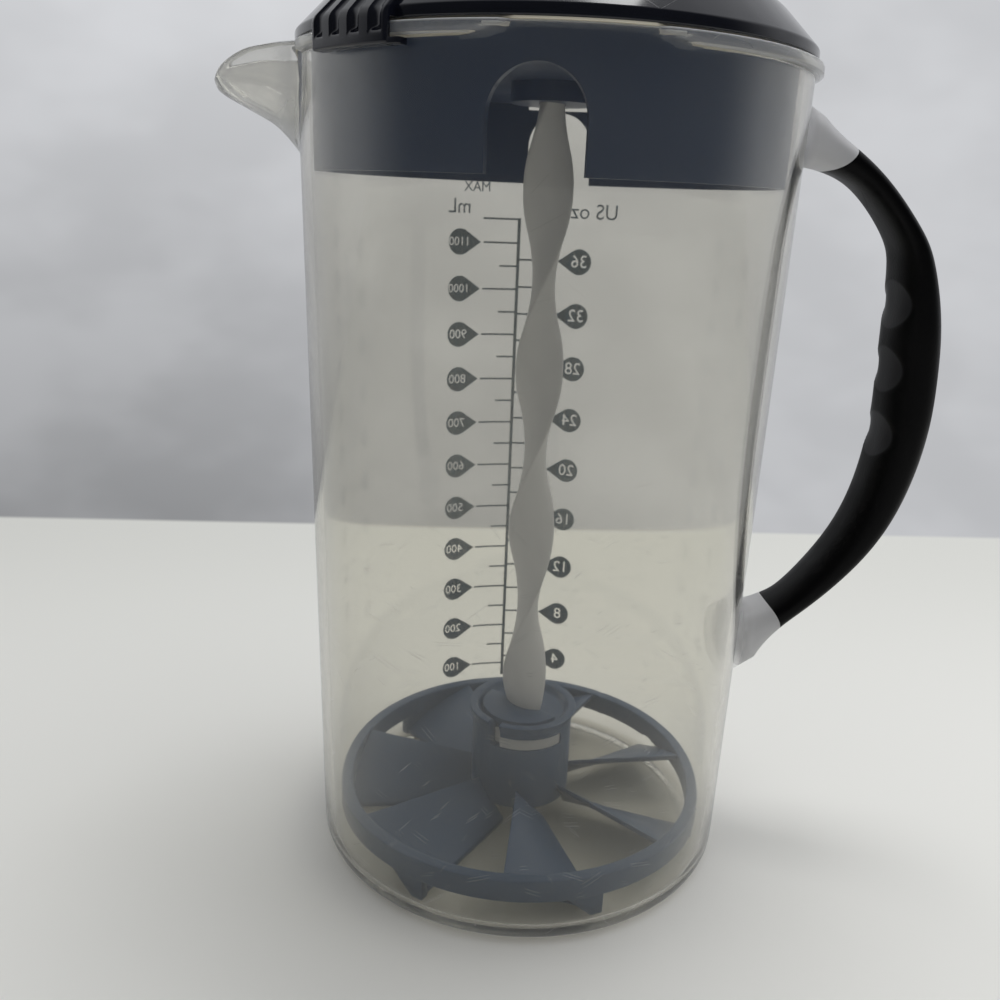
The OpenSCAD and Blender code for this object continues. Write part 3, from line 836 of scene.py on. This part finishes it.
def dish(x, y, z):
    """Depth of the finger dishes, which lie on the side that faces the jug."""
    reach = np.interp(z, HANDLE[:, 1], HANDLE[:, 0])
    across = (y / DISH_HALF_W) ** 2
    deepest = 0.0
    for height in DISH_HEIGHTS if x < reach else ():
        up = ((z - height) / DISH_HALF_H) ** 2
        if across + up < 1:
            deepest = max(deepest, DISH_DEPTH * (1 - up) * (1 - across / (1 - up)) ** 0.4)
    return deepest


def make_grip():
    """The soft grip, hollow where the bar runs."""
    sides, steps = 72, 190
    low, high = end_ring(LOWER_END, GRIP_OVERLAP, sides), end_ring(UPPER_END, -GRIP_OVERLAP, sides)
    outer = [between(low, high, j / steps) for j in range(steps + 1)]
    rings = [[handle_point(place, side, dish(*handle_point(place, side, 0.0))) for place, side in ring]
             for ring in outer]
    rim_low = [on_handle(outer[0], inset, -past) for past, inset in GRIP_EDGE]
    rim_high = [on_handle(outer[-1], inset, past) for past, inset in GRIP_EDGE]
    inner = [on_handle(ring, GRIP_SKIN) for ring in outer[::5]]
    grip = new_piece("soft_grip", *tube([*reversed(inner), *reversed(rim_low), *rings, *rim_high]), 50)
    settle(grip, "jug", "grip_rubber", "handle_grip")


def on_wall(point, depth):
    """A point carried along X to the jug's outer wall, depth inside it."""
    _, y, z = point
    reach = wall_r(z) - depth
    return (sqrt(max(reach ** 2 - y ** 2, 1.0)), y, z)


def root_rings(place, sides, rings):
    """Rings at the wall, each given by its depth in it and how far it swells."""
    return [[on_wall(handle_point(place, side, -swell), depth) for side in even_turns(sides)]
            for depth, swell in rings]


def make_handle_bar():
    """The bar moulded on the jug, with flared roots and a slimmer core in the grip."""
    sides = 48
    low, high = end_ring(LOWER_END, -GRIP_OVERLAP, sides), end_ring(UPPER_END, GRIP_OVERLAP, sides)
    first, last = ([(place, side) for side in even_turns(sides)] for place in (0.25, HANDLE_END - 0.3))
    lower, upper = (0.12, 0.24, 0.38, 0.54, 0.7, 0.85, 1.0), (0.0, 0.15, 0.3, 0.46, 0.62, 0.76, 0.88)
    rings = root_rings(0.0, sides, ((0.6, 1.6), (0.0, 1.5)))
    rings += [on_handle(between(first, low, t), -ROOT_FLARE * (1 - t) ** 3) for t in lower]
    rings += [on_handle(between(low, high, t), GRIP_SKIN + FIT) for t in np.linspace(0, 1, 60)]
    rings += [on_handle(between(high, last, t), -ROOT_FLARE * t ** 3) for t in upper]
    rings += root_rings(HANDLE_END, sides, ((0.0, 1.3), (0.6, 1.4)))
    bar = new_piece("handle_bar", *block(rings), 45)
    settle(bar, "jug", "milky_plastic", "jug_body")


# ---- Lid ----


def make_lid():
    round_z = LID_TOP - LID_ROUND_R
    round_x = LID_R + BEVEL_Z - round_z - 2 * LID_ROUND_R * DIAGONAL
    bevel_in = LID_R + BEVEL_Z - LID_WALL / DIAGONAL
    seat_r = SKIRT_R - SKIRT_WALL - 0.5
    hole_r = GUIDE_R + FIT
    over = arc((round_x, round_z), LID_ROUND_R, 45, 90, 16)
    beneath = arc((round_x, round_z), LID_ROUND_R - LID_WALL, 90, 45, 12)
    corners = [(SKIRT_R + FIT, LID_Z, 0.1), (LID_R, LID_Z, 0.3), (LID_R, BEVEL_Z, 0.35)]
    corners += [(r, z, 0.0) for r, z in over]
    corners += [(hole_r, LID_TOP, 0.4), (hole_r, LID_TOP - LID_WALL, 0.2)]
    corners += [(r, z, 0.0) for r, z in beneath]
    corners += [(seat_r, bevel_in - seat_r, 0.1), (seat_r, SKIRT_TOP, 0.1), (SKIRT_R + FIT, SKIRT_TOP, 0.1)]
    settle(new_piece("lid_shell", *lathe(corners, 0.2, 192), 30), "lid", "gloss_black", "lid_cap")


def groove(turn):
    """Depth of the finger grooves at a turn from the lug's middle."""
    deepest = 0.0
    for i in range(GROOVES):
        middle = LUG_ANGLE * ((i + 0.5) / GROOVES - 0.5)
        away = radians(turn - middle) * LUG_R / (GROOVE_W / 2)
        if abs(away) < 1:
            deepest = max(deepest, GROOVE_DEPTH * sqrt(1 - away ** 2))
    return deepest


def lug_outline(offset, shrink):
    """Section of a lug, which wraps the bead and runs up over the bevel."""
    dip = groove(offset) + shrink
    slant = dip * DIAGONAL
    out_r, groove_r, wrap_r = LUG_R - shrink, LUG_R - dip, LUG_R - LUG_T
    band_z, hook_z, under_z = LUG_Z + LUG_BAND, LUG_Z + HOOK_H, LID_Z + FIT
    corners = [
        (HOOK_IN_R, LUG_Z, 0.15), (out_r, LUG_Z, 0.5), (out_r, band_z, 0.4), (groove_r, band_z + 0.9, 0.4),
        (groove_r, BEVEL_Z - 0.9, 1.6), (50.4 - slant, 190.2 - slant, 0.5), (49.8, 188.8, 0.0),
        (52.6, 185.4, 0.0), (52.6, under_z, 0.0), (wrap_r, under_z, 0.1), (wrap_r, hook_z, 0.1),
        (HOOK_IN_R, hook_z, 0.15),
    ]
    return rounded(corners, 0.2)


def hook_outline(_, shrink):
    """Section of the hook that runs on from a lug under the bead."""
    out_r, top = HOOK_OUT_R - shrink, LUG_Z + HOOK_H
    return rounded([(HOOK_IN_R, LUG_Z), (out_r, LUG_Z), (out_r, top), (HOOK_IN_R, top)], 0.2)


def lug_part(turn, start, end, steps, outline_at):
    """An outline carried from start to end about a turn, drawn in at both ends."""
    rings = []
    for k in range(steps + 1):
        offset = start + (end - start) * k / steps
        edge = min(offset - start, end - offset) / 0.5
        shrink = 0.45 * (1 - min(edge, 1.0)) ** 2
        rings.append([around(turn + offset, r, z) for r, z in outline_at(offset, shrink)])
    return block(rings)


def make_lugs():
    parts = []
    half = LUG_ANGLE / 2
    for turn in LUG_TURNS:
        parts.append(lug_part(turn, -half, half, 120, lug_outline))
        parts.append(lug_part(turn, half - 0.6, half + HOOK_ANGLE, 12, hook_outline))
    settle(new_piece("lid_lugs", *join(*parts)), "lid", "gloss_black", "lid_cap")


def seal_outline(turn):
    """Section of the seal, which reaches the rim's edge in the notches only."""
    past_notch = abs(abs((turn + 360) % 180 - NOTCH_TURN)) - NOTCH_HALF
    in_r, out_r = SKIRT_R + FIT, LID_R - FIT - SEAL_RECESS * fade(past_notch, 0.0, 2.0)
    return rounded([(in_r, RIM_Z), (out_r, RIM_Z), (out_r, LID_Z), (in_r, LID_Z)], 0.15)


def make_seal():
    settle(new_piece("rim_seal", *swept(even_turns(288), seal_outline), 40), "lid", "silicone", "lid_seal")


# ---- Skirt ----


def window_turns():
    """Turns of the skirt's columns, each with its lower end, which a window lifts to an arch."""
    steps, plain_steps, sliver = 32, 60, 1e-4
    half = WINDOW_W / 2
    springing = SKIRT_LOW.z + WINDOW_H - half
    columns = []
    for middle in (WINDOW_TURN, WINDOW_TURN + 180):
        places = [half * sin(pi * (k / steps - 0.5)) for k in range(steps + 1)]
        arch = [(middle + degrees(asin(y / SKIRT_R)), springing + sqrt(max(half ** 2 - y ** 2, 0.0)))
                for y in places]
        start, stop = arch[-1][0] + sliver, middle + 180 - degrees(asin(half / SKIRT_R))
        columns += [(arch[0][0] - sliver, SKIRT_LOW.z), *arch, (start, SKIRT_LOW.z)]
        columns += [(start + (stop - start) * k / plain_steps, SKIRT_LOW.z) for k in range(1, plain_steps)]
    return columns


def vent_cutter():
    """A slab that cuts the vent over the front window."""
    ahead, across = direction(WINDOW_TURN), direction(WINDOW_TURN + 90)
    near, far = SKIRT_R - 4, SKIRT_R + 4
    rings = []
    for z in (VENT_Z, VENT_Z + VENT_H):
        base = Vector((0, 0, z))
        rings.append([tuple(base + ahead * r + across * s * WINDOW_W / 2)
                      for r, s in ((near, -1), (far, -1), (far, 1), (near, 1))])
    return new_piece("vent_cutter", *block(rings))


def make_skirt():
    columns = window_turns()
    rows = []
    for reach, shares in ((SKIRT_R, np.linspace(0, 1, 8)), (SKIRT_R - SKIRT_WALL, np.linspace(1, 0, 8))):
        for t in shares:
            rows.append([around(turn, reach, low + (SKIRT_TOP - low) * t) for turn, low in columns])
    skirt = new_piece("pour_skirt", *tube(rows))
    cut(skirt, vent_cutter(), "DIFFERENCE")
    settle(bevelled(skirt, 0.25), "lid", "slate_plastic", "lid_skirt")
    hole_r, rim_r, top = GUIDE_R + FIT, SKIRT_R - SKIRT_WALL + 0.05, CEILING_Z + CEILING_T
    corners = [(hole_r, CEILING_Z, 0.2), (rim_r, CEILING_Z, 0.0), (rim_r, top, 0.0), (hole_r, top, 0.2)]
    settle(new_piece("skirt_ceiling", *lathe(corners, 0.2, 160)), "lid", "slate_plastic", "lid_skirt")


# ---- Shaft ----


def strip_section(z):
    """Lens-shaped section of the strip at a height."""
    half_w, half_t = STRIP_W / 2, STRIP_T / 2
    lens_r = (half_w ** 2 + half_t ** 2) / (2 * half_t)
    lens_a = degrees(asin((half_w - STRIP_EDGE) / lens_r))
    section = arc((0, half_t - lens_r), lens_r, 90 - lens_a, 90 + lens_a, 16)
    section += arc((0, lens_r - half_t), lens_r, 270 - lens_a, 270 + lens_a, 16)
    turn = strip_turn(z)
    c, s = cos(radians(turn)), sin(radians(turn))
    return [(x * c - y * s, x * s + y * c, z) for x, y in section]


def strip_turn(z):
    return STRIP_TURN + 360 * z / STRIP_PITCH


def make_shaft():
    base, plug_top = SHAFT_LOW.z, SHAFT_LOW.z + PLUG_H
    strip = block([strip_section(z) for z in np.linspace(plug_top - 1, SHAFT_HIGH.z, 300)])
    plug = lathe([(0, base, 0), (PLUG_R, base, 0.6), (PLUG_R, plug_top, 0.5), (0, plug_top, 0)], 0.5, 96)
    low = SLOT_Z + PIN_GAP
    pin = wedge(SLOT_TURN - 1, SLOT_TURN + SLOT_ANGLE - 4, PLUG_R - 0.5, HUB_R - 0.4, low,
                low + SLOT_H - 2 * PIN_GAP, 32)
    shaft = new_piece("twisted_shaft", *join(strip, plug, pin), 60)
    settle(shaft, "mixer", "milky_plastic", "mixing_shaft")


# ---- Wheel ----


def hub_part():
    """A sleeve with a roof, a flared cup, the bayonet slot and a half-round collar."""
    cup_top, roof_z, out_r = HUB_TOP + CUP_H, HUB_TOP + ROOF_T, HUB_R + CUP_FLARE + 2
    corners = [
        (HUB_IN_R, RING_Z, 0.3), (HUB_R, RING_Z, 0.3), (HUB_R, HUB_TOP, 0.3),
        (HUB_R + CUP_FLARE, cup_top, 0.35), (HUB_IN_R + CUP_FLARE, cup_top, 0.35),
        (HUB_IN_R, roof_z, 0.6), (0, roof_z, 0), (0, HUB_TOP, 0), (HUB_IN_R, HUB_TOP, 0.1),
    ]
    hub = new_piece("hub", *lathe(corners, 0.3, 128))
    leg = degrees(SLOT_LEG_W / HUB_R)
    start, foot_turn = SLOT_TURN - leg / 2, strip_turn(cup_top)
    level = wedge(start, start + SLOT_ANGLE, HUB_IN_R - 1, out_r, SLOT_Z, SLOT_Z + SLOT_H, 40)
    upright = wedge(SLOT_TURN - leg, SLOT_TURN, HUB_IN_R - 0.5, out_r, SLOT_Z + 0.2, cup_top + 1, 6)
    collar = wedge(foot_turn, foot_turn + 180, 0.1, HUB_IN_R - 0.4, HUB_TOP + ROOF_T / 2, cup_top - 0.2, 40)
    for shape, operation in ((level, "DIFFERENCE"), (upright, "DIFFERENCE"), (collar, "UNION")):
        cut(hub, new_piece("tool", *shape), operation)
    return bevelled(hub, 0.15, 50)


def blade_part(turn):
    """A plate from a radial upper edge to a straight lower edge further ahead."""
    steps, shares = 14, (0, 0.25, 0.5, 0.75, 1)
    section = [(share, 0) for share in shares] + [(share, -BLADE_T) for share in reversed(shares)]
    drop = RING_TOP - WHEEL_LOW.z - 2 * BLADE_SINK - BLADE_T
    near, far = HUB_R - 1, RING_R - RING_WALL / 2
    start = Vector(around(turn + BLADE_ANGLE + BLADE_SPREAD, near, 0))
    end = Vector(around(turn + BLADE_ANGLE, far, 0))
    rings = []
    for k in range(steps + 1):
        reach = near + (far - near) * k / steps
        foot = start.lerp(end, k / steps)
        span = (degrees(atan2(foot.y, foot.x)) - turn) % 360
        rings.append([around(turn + share * span, reach + (foot.length - reach) * share,
                             RING_TOP - BLADE_SINK - drop * share + level) for share, level in section])
    return bevelled(new_piece("blade", *block(rings)), 0.4, 40, 3)


def foot_part(turn):
    """A ramp, a flat sole and an upright face under the ring."""
    sole, heel = turn - SOLE_ANGLE, turn - FOOT_ANGLE
    section = ((turn, RING_Z + 1), (turn, WHEEL_LOW.z), (sole, WHEEL_LOW.z), (heel, RING_Z),
               (heel - 1.8, RING_Z + 1))
    rings = [[around(at, reach, z) for at, z in section] for reach in (RING_R - RING_WALL + 0.2, RING_R - 0.2)]
    return bevelled(new_piece("foot", *block(rings)), 0.35, 40)


def make_wheel():
    in_r = RING_R - RING_WALL
    corners = [(in_r, RING_Z), (RING_R, RING_Z), (RING_R, RING_TOP), (in_r, RING_TOP)]
    wheel = new_piece("bladed_wheel", *lathe(corners, 0.45, 160))
    cut(wheel, hub_part(), "UNION")
    for turn in even_turns(BLADES):
        cut(wheel, blade_part(BLADE_TURN + turn), "UNION")
        cut(wheel, foot_part(FOOT_TURN + turn), "UNION")
    settle(wheel, "mixer", "wheel_slate", "mixing_wheel")


# ---- Knob ----


def make_knob():
    base, top, floor = KNOB_LOW.z, KNOB_HIGH.z, KNOB_LOW.z + KNOB_FLOOR
    waist = (KNOB_NECK_R + KNOB_WAIST_R, base + KNOB_WAIST_H)
    outside = arc(waist, KNOB_WAIST_R, 180, 120, 8)
    outside += arc((KNOB_R - KNOB_SHOULDER_R, top - KNOB_SHOULDER_R), KNOB_SHOULDER_R, 0, 60, 12)
    corners = [(KNOB_HOLE_R, base, 0.3), (KNOB_NECK_R, base, 0.6)] + [(r, z, 0.4) for r, z in outside]
    corners += [(CAP_R, top, 0.5), (KNOB_BORE_R, top, 0.2), (KNOB_BORE_R, floor, 0.3),
                (KNOB_HOLE_R, floor, 0.2)]
    settle(new_piece("pump_knob", *lathe(corners, 0.3, 128)), "plunger", "knob_black", "plunger_knob")
    stem_r = KNOB_BORE_R - FIT
    corners = [(0, CAP_LOW.z, 0), (stem_r, CAP_LOW.z, 0.3), (stem_r, top, 0.05), (CAP_R, top, 0.3),
               (CAP_TOP_R, CAP_HIGH.z, 1.2), (0, CAP_HIGH.z, 0)]
    settle(new_piece("pump_knob_cap", *lathe(corners, 0.3, 128)), "plunger", "gloss_black", "knob_cap")


# ---- Printed scale ----


def level_of(millilitres):
    """Height of a volume of liquid in the tapered jug, with the wheel and shaft in it."""
    taper = (RIM_R - BASE_R) / RIM_Z
    start = wall_r(JUG_FLOOR) - JUG_WALL
    volume = (millilitres + DISPLACED_ML) * 1000
    return JUG_FLOOR + ((start ** 3 + 3 * taper * volume / pi) ** (1 / 3) - start) / taper


def from_curve(data, read):
    """What read makes of a curve's evaluated object."""
    holder = placed(data.name, data)
    bpy.context.view_layer.update()
    result = read(evaluated(holder))
    bpy.data.objects.remove(holder)
    bpy.data.curves.remove(data)
    return result


def ink(outlines):
    """A flat mesh that fills outlines, and leaves out the ones inside them."""
    data = bpy.data.curves.new("ink", "CURVE")
    data.dimensions, data.fill_mode = "2D", "BOTH"
    for outline in outlines:
        line = data.splines.new("POLY")
        line.points.add(len(outline) - 1)
        for point, (x, y) in zip(line.points, outline):
            point.co = (x, y, 0, 1)
        line.use_cyclic_u = True
    data.extrude = INK_T / 2
    return from_curve(data, bpy.data.meshes.new_from_object)


def letters(text, size, shift=0.0):
    """Outlines of a text in the built-in typeface, centred and moved along X."""
    data = bpy.data.curves.new("letters", "FONT")
    data.body, data.size, data.offset = text, size, size * 0.013
    data.align_x, data.align_y = "CENTER", "CENTER"
    data.resolution_u = 3

    def read(holder):
        curves = holder.to_curve(bpy.context.evaluated_depsgraph_get(), apply_modifiers=False)
        return [flat_spline(spline, shift) for spline in curves.splines]

    return from_curve(data, read)


def flat_spline(spline, shift):
    """Points along a closed Bezier outline, none within its straight parts."""
    steps, straight = 3, 1e-4
    knots = spline.bezier_points
    outline = []
    for i, knot in enumerate(knots):
        after = knots[(i + 1) % len(knots)]
        a, b, c, d = knot.co, knot.handle_right, after.handle_left, after.co
        bend = (b - a).cross(d - a).length + (c - a).cross(d - a).length
        for k in range(1 if bend < straight else steps):
            t = k / steps
            p = a * (1 - t) ** 3 + b * 3 * t * (1 - t) ** 2 + c * 3 * t ** 2 * (1 - t) + d * t ** 3
            outline.append((p.x + shift, p.y))
    return outline


def drop_outline(point_side):
    """A drop on its side, its point towards point_side."""
    lean = degrees(acos(DROP_R / DROP_POINT))
    outline = [(-DROP_POINT, 0)] + arc((0, 0), DROP_R, 180 + lean, 540 - lean, 28)
    return [(-point_side * x, y) for x, y in outline]


def bar_outline(width, height):
    x, y = width / 2, height / 2
    return [(-x, -y), (x, -y), (x, y), (-x, y)]


def wrapped(mesh, turn, height):
    """Points and faces of a flat mesh wrapped on the back wall."""
    step = 1.2
    work = bmesh.new()
    work.from_mesh(mesh)
    span = max(abs(v.co.x) for v in work.verts)
    for k in range(int(-span / step), int(span / step) + 1):
        bmesh.ops.bisect_plane(work, geom=work.verts[:] + work.edges[:] + work.faces[:],
                               plane_co=(k * step, 0, 0), plane_no=(1, 0, 0))
    work.verts.ensure_lookup_table()
    points = []
    for v in work.verts:
        z = height + v.co.y
        reach = wall_r(z)
        points.append(around(turn + degrees(v.co.x / reach), reach + INK_T / 2 + v.co.z, z))
    faces = [tuple(v.index for v in face.verts) for face in work.faces]
    work.free()
    bpy.data.meshes.remove(mesh)
    return points, faces


def scale_marks():
    """Outlines, turn and height of the line, each tick and badge, and the labels."""

    def tick(length, side, height):
        turn = SCALE_TURN + side * degrees(length / 2 / wall_r(height))
        return [bar_outline(length, TICK_T)], turn, height

    yield [bar_outline(LINE_W, SCALE_HIGH - SCALE_LOW)], SCALE_TURN, (SCALE_LOW + SCALE_HIGH) / 2
    yield tick(10.2, 1, SCALE_HIGH - 0.3)
    for amount in range(100, 1101, 50):
        whole, height = amount % 100 == 0, level_of(amount)
        yield tick(10.0 if whole else 5.2, 1, height)
        if whole:
            digits = letters(str(amount), 3.2 if amount > 999 else 3.6, 0.2)
            yield [drop_outline(-1)] + digits, ML_BADGE_TURN, height
    for amount in range(4, 38, 2):
        whole, height = amount % 4 == 0, level_of(amount * OZ_ML)
        yield tick(8.5 if whole else 5.5, -1, height)
        if whole:
            yield [drop_outline(1)] + letters(str(amount), 4.8), OZ_BADGE_TURN, height
    for text, size, turn, height in LABELS:
        yield letters(text, size), turn, height


def make_scale():
    parts = [wrapped(ink(outlines), turn, height) for outlines, turn, height in scale_marks()]
    settle(new_piece("printed_scale", *join(*parts), 60), "jug", "scale_ink")


# ---- Stage and light ----

# Backdrop: its tones at its lowest and highest direction on either side, with painted light that makes it
# lighter upward and to the right, and the painted shade of its folds
CLOTH_HEIGHTS = (-0.36, 0.22)
CLOTH_SIDES = (-0.38, 0.42)
CLOTH_LEFT = (0.27, 0.70)
CLOTH_RIGHT = (0.51, 0.62)
FOLD_SCALE = 5.0
FOLD_STRETCH = (1.0, 1.0, 1.6)
FOLD_SHADE_TONES = (0.35, 0.65, -0.035, 0.035)
CLOTH_RED = 0.985
CLOTH_BLUE = 1.035

# Table, in metres, and where the backdrop starts behind the pitcher
TABLE_W = 24.0
TABLE_SINK = 0.0002
TABLE_END = 224.0
TABLE_BLEND = 6
# Table colour at the front and at the backdrop: the far part is painted darker, as painted shade
TABLE_SHADE_TINTS = (rgb(0.80, 0.795, 0.765), rgb(0.69, 0.69, 0.655))
TABLE_GLOSS = 0.3
TABLE_ROUGHNESS = 0.3
GLARE_LEAST = 0.04
GLARE_POWER = 5.0

# Room: where it is bright, and its strength as it lights and as it is mirrored
ROOM_TINT = rgb(0.97, 0.985, 1.0)
ROOM_BRIGHT = (0.15, 0.55, 0.8)
ROOM_STRENGTH = (-0.35, 0.75, 0.06, 0.66)
MIRROR_STRENGTH = (-0.4, 0.2, 0.09, 1.0)


def cloth_tone(net, toward):
    """Colour of the backdrop in a direction from the camera, with painted light that makes it lighter upward
    and to the right, and painted fold shade.
    """
    parts = net.parts(toward)
    left = net.ramp(parts[2], *CLOTH_HEIGHTS, *CLOTH_LEFT, how="LINEAR")
    right = net.ramp(parts[2], *CLOTH_HEIGHTS, *CLOTH_RIGHT, how="LINEAR")
    tone = net.add("Mix", {0: net.ramp(parts[0], *CLOTH_SIDES), 2: left, 3: right})[0]
    # Painted light and shade of the cloth's folds
    tone = net.plus(tone, net.ramp(net.noise(toward, FOLD_SCALE, 3.0, FOLD_STRETCH), *FOLD_SHADE_TONES))
    return net.add("CombineColor", {0: net.times(tone, CLOTH_RED), 1: tone, 2: net.times(tone, CLOTH_BLUE)})[0]


def glare(net):
    """Share of mirror reflection: least where a surface faces the eye, full at its edge."""
    rise = net.times(net.calc("POWER", net.facing(), GLARE_POWER), 1.0 - GLARE_LEAST)
    return net.plus(rise, GLARE_LEAST)


def make_stage():
    """A pale table, painted darker towards the back as painted shade, with a grey backdrop beyond it."""
    mesh = bpy.data.meshes.new("table")
    mesh.from_pydata([(x, y, 0) for x, y in bar_outline(TABLE_W, TABLE_W)], [], [(0, 1, 2, 3)])
    table = placed("table", mesh)
    table.location = (0, 0, -TABLE_SINK)
    look, net, coords = new_look("table")
    behind = net.parts(coords)[1]
    beyond = net.ramp(behind, TABLE_END, TABLE_END + TABLE_BLEND, unit=MM)
    # Painted shade: the table's colour darkens towards the backdrop
    tone = net.tint(net.ramp(behind, 0.0, TABLE_END, unit=MM), *TABLE_SHADE_TINTS)
    pale = net.shader("BsdfDiffuse", tone)
    polish = net.shader("BsdfGlossy", WHITE, Roughness=TABLE_ROUGHNESS)
    top = net.mix(net.times(glare(net), TABLE_GLOSS), pale, polish)
    away = net.vector("SUBTRACT", coords, [c * MM for c in CAMERA_AT])
    toward = net.add("VectorMath", {0: away}, operation="NORMALIZE")[0]
    cloth = net.shader("Emission", cloth_tone(net, toward), Strength=1.0)
    path = net.add("LightPath")
    seen = net.most(path["Is Camera Ray"], path["Is Glossy Ray"], path["Is Transmission Ray"])
    net.show(net.mix(beyond, top, net.mix(seen, pale, cloth)))
    mesh.materials.append(look)


def make_world():
    """A room that is dark on the camera's side and bright behind and above, with the backdrop."""
    world = bpy.data.worlds.new("room")
    bpy.context.scene.world = world
    net = Net(world)
    path = net.add("LightPath")
    toward = net.add("TexCoord")["Generated"]
    cloth = cloth_tone(net, toward)
    mirrored = net.shader("Background", cloth, Strength=net.ramp(net.parts(toward)[1], *MIRROR_STRENGTH))
    bright = net.add("VectorMath", {0: toward, 1: ROOM_BRIGHT}, operation="DOT_PRODUCT")["Value"]
    room = net.shader("Background", ROOM_TINT, Strength=net.ramp(bright, *ROOM_STRENGTH))
    mixed = net.mix(net.most(path["Is Glossy Ray"], path["Is Transmission Ray"]), room, mirrored)
    mixed = net.mix(path["Is Camera Ray"], mixed, net.shader("Background", cloth, Strength=1.0))
    net.add("OutputWorld", {"Surface": mixed})


def make_lamp(name, place, aim, size, power, mirrored=True):
    """A soft lamp; one that isn't mirrored leaves no highlight."""
    lamp = bpy.data.lights.new(name, "AREA")
    lamp.shape, lamp.size, lamp.size_y = "RECTANGLE", size[0], size[1]
    lamp.energy = power
    holder = placed(name, lamp)
    holder.location = place
    holder.visible_glossy = mirrored
    holder.rotation_mode = "QUATERNION"
    holder.rotation_quaternion = (Vector(aim) - Vector(place)).to_track_quat("-Z", "Y")


# ---- Everything, in order ----

for make_part in (make_jug, make_handle_bar, make_grip, make_lid, make_lugs, make_seal, make_skirt, make_shaft,
                  make_wheel, make_knob, make_scale, make_stage, make_world):
    make_part()
for node, look in (("shaft_guide", "slate_plastic"), ("shaft_head", "milky_plastic")):
    dress(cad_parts[node], look)
make_lamp("window", (0.60, 0.06, 0.95), (0.05, 0, 0), (0.9, 0.9), 3.4, mirrored=False)
make_lamp("ceiling_light", (0.08, 0.16, 0.95), (0.02, 0, 0), (0.38, 0.26), 2.3)
bpy.context.scene.view_settings.view_transform = "Standard"
